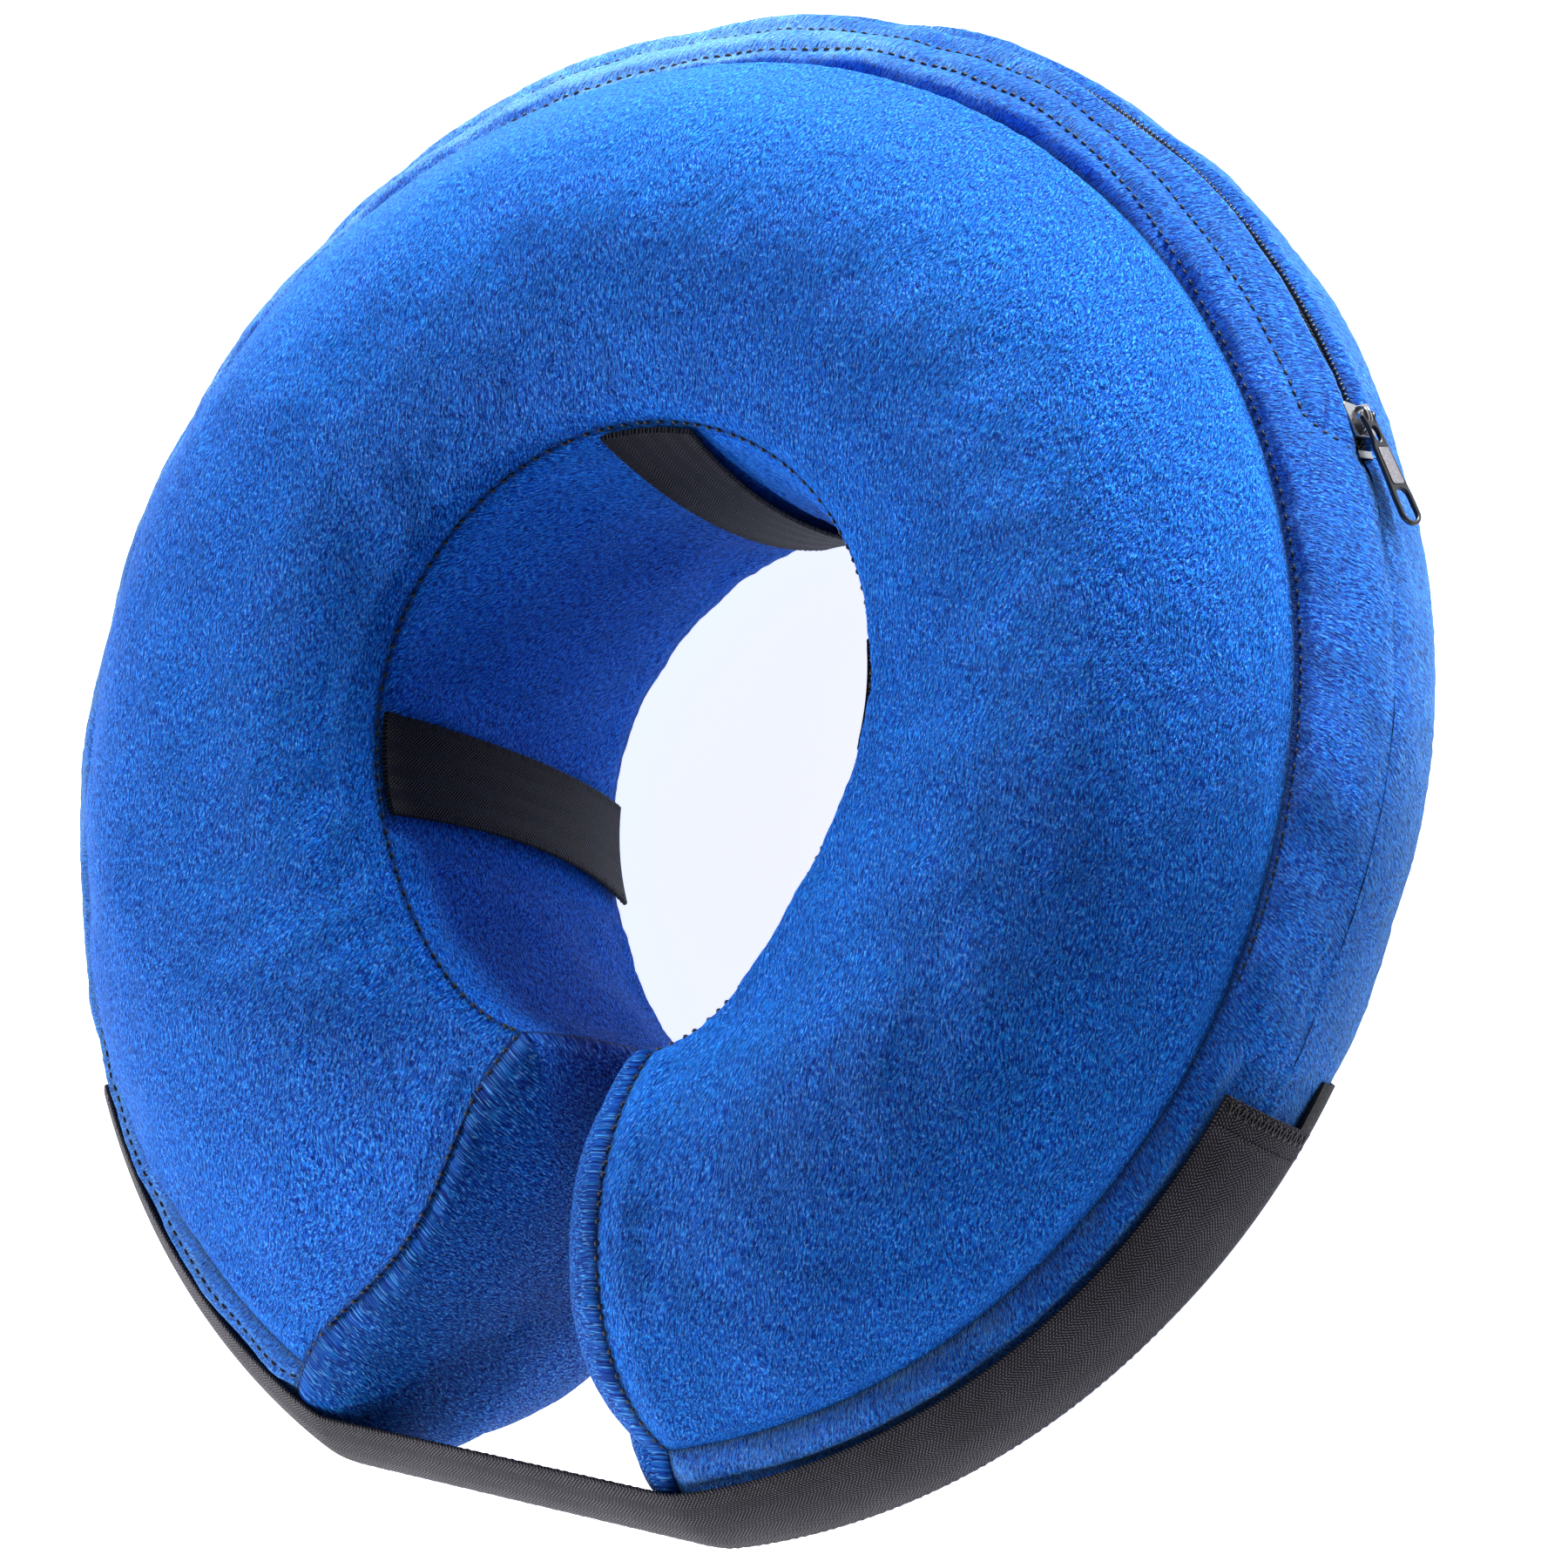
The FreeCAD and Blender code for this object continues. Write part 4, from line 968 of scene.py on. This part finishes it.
def strap_rows():
    """Section rows of the whole closing strap, from its sewn end to its free end."""
    step = 1.1
    turn_step = math.degrees(step / (OUTER_RADIUS + OUTER_BULGE))
    outline = web_section()
    turn = STRAP_LOW + (STRAP_HIGH - STRAP_LOW) * outline[:, 0]

    def ring_section(angle, inner, centre=np.zeros(2)):
        return band_point(np.full(len(outline), angle), inner + WEB_THICK * outline[:, 1], turn, centre)

    sewn = np.arange(*STRAP_LEFT, turn_step)
    held = np.append(np.arange(*STRAP_RIGHT, turn_step), STRAP_RIGHT[1])
    first = ring_section(STRAP_LEFT[1], SURFACE, LEFT_SHIFT)
    second = ring_section(STRAP_RIGHT[0], STRAP_BOTTOM)
    gap = np.linalg.norm(second.mean(0) - first.mean(0))
    over = np.linspace(0, 1, int(gap / step) + 1)[:-1]
    rows = np.stack([ring_section(angle, SURFACE, LEFT_SHIFT) for angle in sewn]
                    + [first + (second - first) * share for share in over]
                    + [ring_section(angle, STRAP_BOTTOM) for angle in held])
    marks = np.concatenate([sewn, STRAP_LEFT[1] + (STRAP_RIGHT[0] - STRAP_LEFT[1]) * over, held])
    middle = rows.mean(1)
    # ease the two bends where the strap leaves the band
    near = np.minimum(abs(marks - STRAP_LEFT[1]), abs(marks - STRAP_RIGHT[0])) < 2.5
    near[[0, -1]] = False
    for _ in range(12):
        eased = rows.copy()
        eased[1:-1] = 0.25 * rows[:-2] + 0.5 * rows[1:-1] + 0.25 * rows[2:]
        rows[near] = eased[near]
    lengths = np.concatenate([[0.0], np.cumsum(np.linalg.norm(np.diff(middle, axis=0), axis=-1))])
    return rows, marks, lengths


def build_strap():
    """The closing strap: its sewn end and free span, then the parts it is cut into, the hem end riding on
    the last strap body.
    """
    rows, marks, lengths = strap_rows()
    outline = web_section()
    normal = web_normals(rows)
    rows = selvedge_beads(rows, lengths, normal)
    # the free end is folded into a hem, thicker on its outer face
    total = lengths[-1]
    hem = smooth(total - HEM_LENGTH, total - HEM_LENGTH + 1.5, lengths)[:, None]
    hem = hem * (outline[:, 1] > 0.5)[None] * HEM_RISE
    rows = rows + normal * hem[..., None]
    normal = web_normals(rows)
    span = (STRAP_RIGHT[1] - STRAP_RIGHT[0]) / STRAP_SEGMENTS
    cuts = [STRAP_LEFT[0]] + [STRAP_RIGHT[0] + span * (k - 0.5) for k in range(0, STRAP_SEGMENTS + 1)]
    index = [int(np.argmin(abs(marks - c))) for c in cuts] + [len(marks) - 1]
    bodies = ["left_arm"] + [f"strap_{k}" for k in range(1, STRAP_SEGMENTS + 1)]
    names = ["strap_sewn"] + [f"strap_part_{k}" for k in range(1, STRAP_SEGMENTS + 1)] + ["strap_hem_end"]
    for k, name in enumerate(names):
        low, high = index[k], index[k + 1]
        cut = slice(low, high + 1)
        closed = (k == 0, k == len(names) - 1)
        obj = web_object(name, rows[cut], lengths[cut], WEBBING, normal[cut], closed)
        if k == 0:
            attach(obj, "left_arm")
            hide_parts("strap_sewn_end", "strap_bridge")
        elif k <= STRAP_SEGMENTS:
            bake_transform(obj)
            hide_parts(f"strap_segment_{k}")
        else:
            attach(obj, bodies[-1])
    return rows, lengths, normal


STRAP = build_strap()


def build_loops():
    """Three keepers that stand across the neck band, bowed a little off it."""
    outline = web_section()
    sweep = math.degrees(WEB_WIDTH / NECK_RADIUS)
    half = NECK_HALF - LOOP_SEAM_INSET
    bulge = NECK_BULGE + LOOP_STANDOFF
    radius = (half**2 + bulge**2) / (2 * bulge)
    heights = np.linspace(-half, half, 93)
    lengths = (heights + half) * 1.01
    for side, angle in LOOP_ANGLES.items():
        xy_turn = unit(angle - sweep / 2 + sweep * outline[:, 0])
        rows = []
        for z in heights:
            reach = math.sqrt(radius**2 - z * z) - (radius - bulge)
            tuck = LOOP_TUCK * (1.0 - smooth(0.0, 7.0, half - z)) if side == "right" else 0.0
            r = NECK_RADIUS - LOOP_INSET - reach - WEB_THICK * outline[:, 1] + tuck
            xy = NECK_CENTRE + r[:, None] * xy_turn
            rows.append(np.column_stack([xy, np.full(len(xy), MIDDLE + z)]))
        rows = np.stack(rows)
        normal = web_normals(rows)
        rows = selvedge_beads(rows, lengths, normal)
        obj = web_object(f"keeper_{side}", rows, lengths, SHADED_KEEPER_WEBBING, normal)
        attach(obj, "left_arm" if side == "left" else "ring")
        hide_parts(f"neck_loop_{side}")


build_loops()

# ---------------------------------------------------------------- stitches


def capsules(name, starts, ends, outward, radius, material=THREAD):
    """Short stitches: each a rounded six-sided capsule from start to end, arched outward."""
    sides, shares = 6, (0.0, 0.12, 0.5, 0.88, 1.0)
    girth, arch = (0.35, 0.9, 1.0, 0.9, 0.35), (-0.9, -0.1, 0.45, -0.1, -0.9)
    starts, ends, outward = (np.asarray(v, float) for v in (starts, ends, outward))
    axis = normalised(ends - starts)
    across = normalised(np.cross(axis, outward))
    up = np.cross(across, axis)
    rings = []
    for share, g, lift in zip(shares, girth, arch):
        centre = starts + (ends - starts) * share + up * (lift * radius)
        for k in range(sides):
            turn = 2 * math.pi * k / sides
            rings.append(centre + radius * g * (math.cos(turn) * across + math.sin(turn) * up))
    points = np.stack(rings, 1)
    per = points.shape[1]
    one = []
    for ring in range(len(shares) - 1):
        for k in range(sides):
            a, b = ring * sides + k, ring * sides + (k + 1) % sides
            one.append([a, b, b + sides, a + sides])
    last = (len(shares) - 1) * sides
    one += [[3, 2, 1, 0], [5, 4, 3, 0]]
    one += [[last + k for k in corner] for corner in ((0, 1, 2, 3), (0, 3, 4, 5))]
    faces = (np.array(one)[None] + (np.arange(len(points)) * per)[:, None, None]).reshape(-1, 4)
    return build(name, points.reshape(-1, 3), faces, material)


TOPSTITCH_SPAN = {1: (-10.0, LEFT), 2: (31.0, 170.0)}


def stitch_row(name, path, normals, angles, pitch, fill, radius, wobble, slant=0.0):
    """Stitches along a polyline on the cover, one piece per zone."""
    step = np.linalg.norm(np.diff(path, axis=0), axis=-1)
    run = np.concatenate([[0.0], np.cumsum(step)])
    count = int(run[-1] / pitch)
    at = (np.arange(count) + 0.5) * pitch
    jitter = np.array([noise.noise(Vector((i * 0.77, 3.1, pitch))) for i in range(count)])
    at = at + jitter * wobble * pitch
    half = 0.5 * fill * pitch

    def read(where, values):
        return np.stack([np.interp(where, run, values[:, i]) for i in range(values.shape[1])], -1)

    starts, ends, out = read(at - half, path), read(at + half, path), read(at, normals)
    if slant:
        across = normalised(np.cross(ends - starts, out))
        starts, ends = starts - across * slant, ends + across * slant
    theta = np.interp(at, run, angles)
    for zone, low, high in ZONES:
        pick = (theta >= low) & (theta < high)
        if not pick.any():
            continue
        obj = capsules(f"{name}_{zone}", starts[pick], ends[pick], out[pick], radius)
        ride_zone(obj, zone)


def topstitch_line(row, low, high):
    """Points, normals and angles along one row of topstitching on the outer band."""
    points = PANELS["outer_front"][1]
    normal = grid_normals(points)
    count = COLUMNS["outer_front"]
    path, norms, angles = [], [], []
    for i, angle in enumerate(ANGLES):
        if low <= angle <= high:
            whole = float(seam_turn(np.array(angle)))
            share = (whole - float(topstitch_turn(row, np.array(angle)))) / (2 * whole) / ZIP_SHARE
            k = min(int(share * count), count - 1)
            t = share * count - k
            path.append(points[i, k] * (1 - t) + points[i, k + 1] * t)
            norms.append(normal[i, k])
            angles.append(angle)
    return np.array(path), np.array(norms), np.array(angles)


def build_stitches():
    """Hand-like stitches in the neck and end seams, and two machine rows on the outer band."""
    points = PANELS["front"][1]
    normal = grid_normals(points)
    stitch_row("neck_seam_stitches", points[:, 0] + normal[:, 1] * 0.15, normal[:, 1], ANGLES,
               pitch=3.4, fill=0.42, radius=0.42, wobble=0.5, slant=0.25)
    for row, (low, high) in TOPSTITCH_SPAN.items():
        path, norms, angles = topstitch_line(row, low, high)
        stitch_row(f"topstitch_{row}", path + norms * 0.12, norms, angles,
                   pitch=3.0, fill=0.6, radius=0.3, wobble=0.2)
    for end, row, inner, angle in (("right", 0, 3, RIGHT), ("left", -1, -4, LEFT - 0.001)):
        norms = normal[inner]
        stitch_row(f"end_seam_stitches_{end}", points[row] + norms * 0.15, norms,
                   np.full(len(norms), angle), pitch=3.6, fill=0.4, radius=0.4, wobble=0.5, slant=0.25)


build_stitches()


def build_strap_stitches():
    """Two rows of stitching across the hem, and a zigzag along the very end."""
    rows, lengths, normal = STRAP
    top = slice(0, PROFILE_ACROSS + 1)
    starts, ends, out = [], [], []

    def row_at(back):
        return int(np.argmin(abs(lengths - (lengths[-1] - back))))

    for row in (row_at(1.6), row_at(7.0)):
        line, up = rows[row, top], normal[row, top]
        for k in range(1, PROFILE_ACROSS - 1):
            starts.append(line[k] + up[k] * 0.12 + (line[k + 1] - line[k]) * 0.1)
            ends.append(line[k] + up[k] * 0.12 + (line[k + 1] - line[k]) * 0.75)
            out.append(up[k])
    row_a, row_b = row_at(0.5), row_at(3.4)
    for k in range(1, PROFILE_ACROSS - 1):
        a, b = (row_a, row_b) if k % 2 else (row_b, row_a)
        starts.append(rows[a, k] + normal[a, k] * 0.14)
        ends.append(rows[b, k + 1] + normal[b, k + 1] * 0.14)
        out.append(normal[a, k])
    obj = capsules("strap_hem_stitches", starts, ends, out, 0.22, WEBBING_THREAD)
    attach(obj, "strap_5")


build_strap_stitches()

# ---------------------------------------------------------------- the zipper


def zipper_matrix(angle):
    """Frame whose X leaves the band, Y runs along the zipper and Z lies across it."""
    turn, tilt = math.radians(angle), math.radians(ZIP_TURN)
    spin = Matrix.Rotation(turn, 4, "Z") @ Matrix.Rotation(-tilt, 4, "Y")
    base = Vector((BAND_CENTRE * math.cos(turn), BAND_CENTRE * math.sin(turn), MIDDLE))
    return Matrix.Translation(base) @ spin


def tube(name, path, radius, sides, material):
    """A closed tube along a polyline in millimetres."""
    path = np.asarray(path, float)
    tangent = normalised(np.gradient(path, axis=0))
    across = np.cross(tangent, np.array([0.0, 0.0, 1.0]))
    across /= np.maximum(np.linalg.norm(across, axis=-1, keepdims=True), 1e-6)
    up = np.cross(across, tangent)
    turns = (np.arange(sides) * 2 * math.pi / sides)[None, :, None]
    rings = path[:, None] + radius * (np.cos(turns) * across[:, None] + np.sin(turns) * up[:, None])
    last = (len(path) - 1) * sides
    faces = grid_faces(len(path), sides, wrap=True)[:, ::-1].tolist()
    return build(name, rings, faces + [list(range(sides))[::-1], list(range(last, last + sides))], material)


COIL_DEPTH, COIL_PITCH, COIL_REACH = 23.95, 1.35, (0.48, 0.62)


def build_coils():
    """The two zipper coils, each in a ring piece and a piece over the bend."""
    tilt = math.radians(ZIP_TURN)
    normal = np.array([math.cos(tilt), math.sin(tilt)])
    across = np.array([-math.sin(tilt), math.cos(tilt)])
    radius_mid = BAND_CENTRE + COIL_DEPTH * math.cos(tilt)
    per_turn = 9
    for side, sign in (("front", 1.0), ("rear", -1.0)):
        for zone, low, high in (("ring", ZIP_START, BEND_START), ("bend", BEND_START, ZIP_STOP)):
            turns = math.radians(high - low) * radius_mid / COIL_PITCH
            t = np.linspace(0, turns, int(turns * per_turn))
            phase = 2 * math.pi * t
            depth = COIL_DEPTH + COIL_REACH[0] * np.sin(phase)
            side_off = sign * (1.12 - COIL_REACH[1] * np.cos(phase))
            theta = low + (high - low) * t / turns
            local = normal[None] * depth[:, None] + across[None] * side_off[:, None]
            xy = (BAND_CENTRE + local[:, 0])[:, None] * unit(theta)
            path = np.concatenate([xy, (MIDDLE + local[:, 1])[:, None]], -1)
            obj = tube(f"coil_{side}_{zone}", path, 0.30, 6, COIL)
            ride_zone(obj, zone)
            if zone == "ring":
                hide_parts(f"zipper_coil_{side}")


build_coils()


def plate(name, outline, holes, low, high, matrix, material, bevel=0.22):
    """A flat metal piece cut to an outline in the zipper's (along, across) plane, edges rounded."""
    curve = bpy.data.curves.new(name, "CURVE")
    curve.dimensions = "2D"
    curve.fill_mode = "BOTH"
    for loop in [outline] + holes:
        spline = curve.splines.new("POLY")
        spline.points.add(len(loop) - 1)
        for point, (x, y) in zip(spline.points, loop):
            point.co = (x * MM, y * MM, 0, 1)
        spline.use_cyclic_u = True
    depth = (high - low) / 2
    curve.extrude = (depth - bevel) * MM
    curve.bevel_depth = bevel * MM
    curve.bevel_resolution = 3
    curve.offset = -bevel * MM
    maker = bpy.data.objects.new(name, curve)
    bpy.context.scene.collection.objects.link(maker)
    mesh = bpy.data.meshes.new_from_object(maker)
    bpy.data.objects.remove(maker)
    bpy.data.curves.remove(curve)
    # curve plane (x, y) is (along, across); its depth leaves the band
    basis = Matrix(((0, 0, 1, (low + depth) * MM), (1, 0, 0, 0), (0, 1, 0, 0), (0, 0, 0, 1)))
    at = matrix.copy()
    at.translation = Vector(metres(at.translation))
    mesh.transform(at @ basis)
    mesh.materials.clear()
    mesh.materials.append(material)
    mesh.polygons.foreach_set("use_smooth", np.full(len(mesh.polygons), True))
    mesh.set_sharp_from_angle(angle=math.radians(50))
    obj = bpy.data.objects.new(name, mesh)
    bpy.context.scene.collection.objects.link(obj)
    return obj


def join(name, objects):
    """Several mesh objects as one, under a new name."""
    for o in objects:
        o.select_set(True)
    bpy.context.view_layer.objects.active = objects[0]
    with bpy.context.temp_override(active_object=objects[0], selected_editable_objects=objects,
                                   selected_objects=objects, object=objects[0]):
        bpy.ops.object.join()
    objects[0].name = name
    objects[0].data.name = name
    for o in bpy.context.selected_objects:
        o.select_set(False)
    return objects[0]


def circle(cx, cy, rx, ry, count, start=0.0, sweep=360.0):
    """Points of an ellipse or of a part of one."""
    turns = np.radians(start + np.linspace(0, sweep, count, endpoint=sweep < 360))
    return [(cx + rx * math.cos(t), cy + ry * math.sin(t)) for t in turns]


TAB_LEAN = 7.0
BAIL_HALF, BAIL_FOOT, BAIL_RISE, BAIL_GAUGE = 2.9, 26.65, 3.0, 0.36
TAB_PIN, TAB_PIN_HALF, TAB_PIN_GAUGE = 28.8, 2.5, 0.62


def hand_over(obj, body, node_name):
    """Let a finished metal piece ride on its body, in place of its CAD node."""
    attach(obj, body)
    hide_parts(node_name)


def build_slider():
    """The slider's plates and the arch over them; X of its frame leaves the band."""
    at = zipper_matrix(SLIDER_ANGLE)
    # top wing: wide shoulders ahead, towards the open side, and a narrow tail behind
    wing = (circle(-3.4, 2.0, 1.0, 1.0, 8, 90, 90) + circle(-3.4, -2.0, 1.0, 1.0, 8, 180, 90)
            + [(1.2, -3.7)] + circle(3.6, -3.1, 0.85, 0.85, 8, 270, 90) + [(3.6, 0.0)]
            + circle(3.6, 3.1, 0.85, 0.85, 8, 0, 90) + [(1.2, 3.7)])
    body = join("slider_body", [
        plate("slider_top", wing, [], 26.1, 27.1, at, METAL),
        plate("slider_web", circle(0, 0, 2.6, 0.3, 20), [], 22.8, 26.3, at, METAL, bevel=0.08),
        plate("slider_base", circle(0, 0, 4.4, 1.85, 32), [], 22.3, 22.85, at, METAL, bevel=0.15)])
    hand_over(body, "slider", "zipper_slider")
    # bail: two thin rails in a low arch that the tab's pin passes under
    share = np.linspace(-1, 1, 25)
    rise = BAIL_FOOT + BAIL_RISE * (1 - abs(share) ** 3.2) ** 0.8
    rails = [tube(f"bail_{across}", [tuple(at @ Vector((high, along, across)))
                                     for high, along in zip(rise, BAIL_HALF * share)],
                  BAIL_GAUGE, 8, METAL) for across in (-0.42, 0.42)]
    hand_over(join("bail_arch", rails), "slider", "slider_bail")


def build_tab():
    """Pull tab: hooked neck with a window, blade that widens, long opening at its round end."""
    lean = zipper_matrix(SLIDER_ANGLE) @ Matrix.Rotation(math.radians(TAB_LEAN), 4, "X")
    neck = [(-2.6, -1.5), (-1.2, -1.9), (0.6, -1.9), (1.2, -1.3),
            (1.2, 1.3), (0.6, 1.9), (-1.2, 1.9), (-2.6, 1.5)]
    blade = [(-6.0, 1.5), (-8.2, 2.3), (-16.0, 2.6), (-21.0, 3.0)]
    tip = circle(-25.0, 0, 3.0, 3.0, 22, 90, 180)
    outline = blade + tip + [(x, -y) for x, y in blade[::-1]] + neck
    window = circle(-5.0, 0, 2.0, 0.95, 20)[::-1]
    opening = circle(-20.6, 0, 1.75, 1.75, 14, -90, 180) + circle(-25.2, 0, 1.85, 1.85, 14, 90, 180)
    inlay = [(-8.6, 1.5), (-17.4, 1.8), (-17.9, 1.2), (-17.9, -1.2), (-17.4, -1.8), (-8.6, -1.5)]
    pin = [tuple(lean @ Vector((TAB_PIN, 0, z))) for z in np.linspace(-TAB_PIN_HALF, TAB_PIN_HALF, 9)]
    tab = join("tab", [
        plate("tab_blade", outline, [window, opening[::-1]], 28.3, 29.5, lean, TAB_METAL, bevel=0.35),
        plate("tab_inlay", inlay, [], 29.0, 29.72, lean, PALE_METAL, bevel=0.12),
        tube("tab_pin", pin, TAB_PIN_GAUGE, 12, METAL)])
    hand_over(tab, "tab", "pull_tab")


build_slider()
build_tab()

# ---------------------------------------------------------------- carried-over CAD nodes

CAD_MATERIALS = {
    "zipper_tape_front": TAPE, "zipper_tape_rear": TAPE,
    "zipper_top_stop": METAL, "zipper_bottom_stop": METAL,
    "valve_base": VALVE, "valve_plug": VALVE, "landing_tape": LOOP,
    "hook_patch_4": HOOK, "hook_patch_5": HOOK,
}
for node_name, cad_material in CAD_MATERIALS.items():
    node_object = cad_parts[node_name]
    if isinstance(node_object, str):
        node_object = bpy.data.objects[node_object]
    if node_object.material_slots:
        for material_slot in node_object.material_slots:
            material_slot.material = cad_material
    else:
        node_object.data.materials.append(cad_material)

# ---------------------------------------------------------------- floor, light and camera

CAMERA_TURNS = (79.02, 56.08, -66.76)
CAMERA_DISTANCE, CAMERA_RIGHT, CAMERA_DOWN, CAMERA_LENS = 1.6217, 0.01123, 0.00697, 160.0
FLOOR_HALF, FLOOR_GLOW, SKY = 6.0, 0.84, 0.18
LIGHTS = {  # direction from the aim, distance in m, width in m and power in W
    "key": ((0.10, 0.98, 0.06), 1.9, 0.6, 122.0),
    "overhead": ((-0.88, -0.28, 0.40), 1.8, 0.9, 44.0),
    "side": ((0.10, -0.95, 0.30), 1.9, 0.8, 13.0),
}


def camera_axes():
    """Right, up and back of the camera, from its azimuth, elevation and roll."""
    azimuth, elevation, roll = (math.radians(v) for v in CAMERA_TURNS)
    back = Vector((math.sin(azimuth) * math.cos(elevation), -math.cos(azimuth) * math.cos(elevation),
                   math.sin(elevation)))
    right = Vector((0, 0, 1)).cross(back).normalized()
    up = back.cross(right)
    return (math.cos(roll) * right + math.sin(roll) * up,
            -math.sin(roll) * right + math.cos(roll) * up, back)


def place_facing(obj, where, axes):
    obj.matrix_world = Matrix.Translation(where) @ axes.to_4x4()
    bpy.context.scene.collection.objects.link(obj)


def build_stage():
    """Camera, bright floor, even sky and three soft lights."""
    scene = bpy.context.scene
    right, up, back = camera_axes()
    aim = Vector(metres((*NECK_CENTRE, MIDDLE))) + right * CAMERA_RIGHT - up * CAMERA_DOWN
    camera = bpy.data.objects.new("camera", bpy.data.cameras.new("camera"))
    camera.data.lens, camera.data.sensor_width = CAMERA_LENS, 36.0
    place_facing(camera, aim + back * CAMERA_DISTANCE, Matrix((right, up, back)).transposed())
    scene.camera = camera

    white = (1.0, 1.0, 1.0, 1.0)
    floor_mat = grained("floor_pale", (0.93, 0.93, 0.93), rough=0.9, scale=40.0,
                        bump_depth=0.0, spread=0.004)
    shader = floor_mat.node_tree.nodes["Principled BSDF"]
    shader.inputs["Emission Color"].default_value = white
    shader.inputs["Emission Strength"].default_value = FLOOR_GLOW
    mesh = bpy.data.meshes.new("floor")
    corners = [(x * FLOOR_HALF, y * FLOOR_HALF, 0) for x, y in ((-1, -1), (1, -1), (1, 1), (-1, 1))]
    mesh.from_pydata(corners, [], [(0, 1, 2, 3)])
    mesh.materials.append(floor_mat)
    floor = bpy.data.objects.new("floor", mesh)
    scene.collection.objects.link(floor)

    scene.world = bpy.data.worlds.new("studio")
    scene.world.use_nodes = True
    sky = scene.world.node_tree.nodes["Background"]
    sky.inputs[0].default_value, sky.inputs[1].default_value = white, SKY

    for name, (direction, distance, width, power) in LIGHTS.items():
        light = bpy.data.lights.new(name, "AREA")
        light.shape, light.size, light.energy = "DISK", width, power
        where = aim + Vector(direction).normalized() * distance
        facing = (where - aim).to_track_quat("Z", "Y").to_matrix()
        place_facing(bpy.data.objects.new(name, light), where, facing)
    scene.view_settings.view_transform = "Standard"
    scene.view_settings.look = "None"


build_stage()
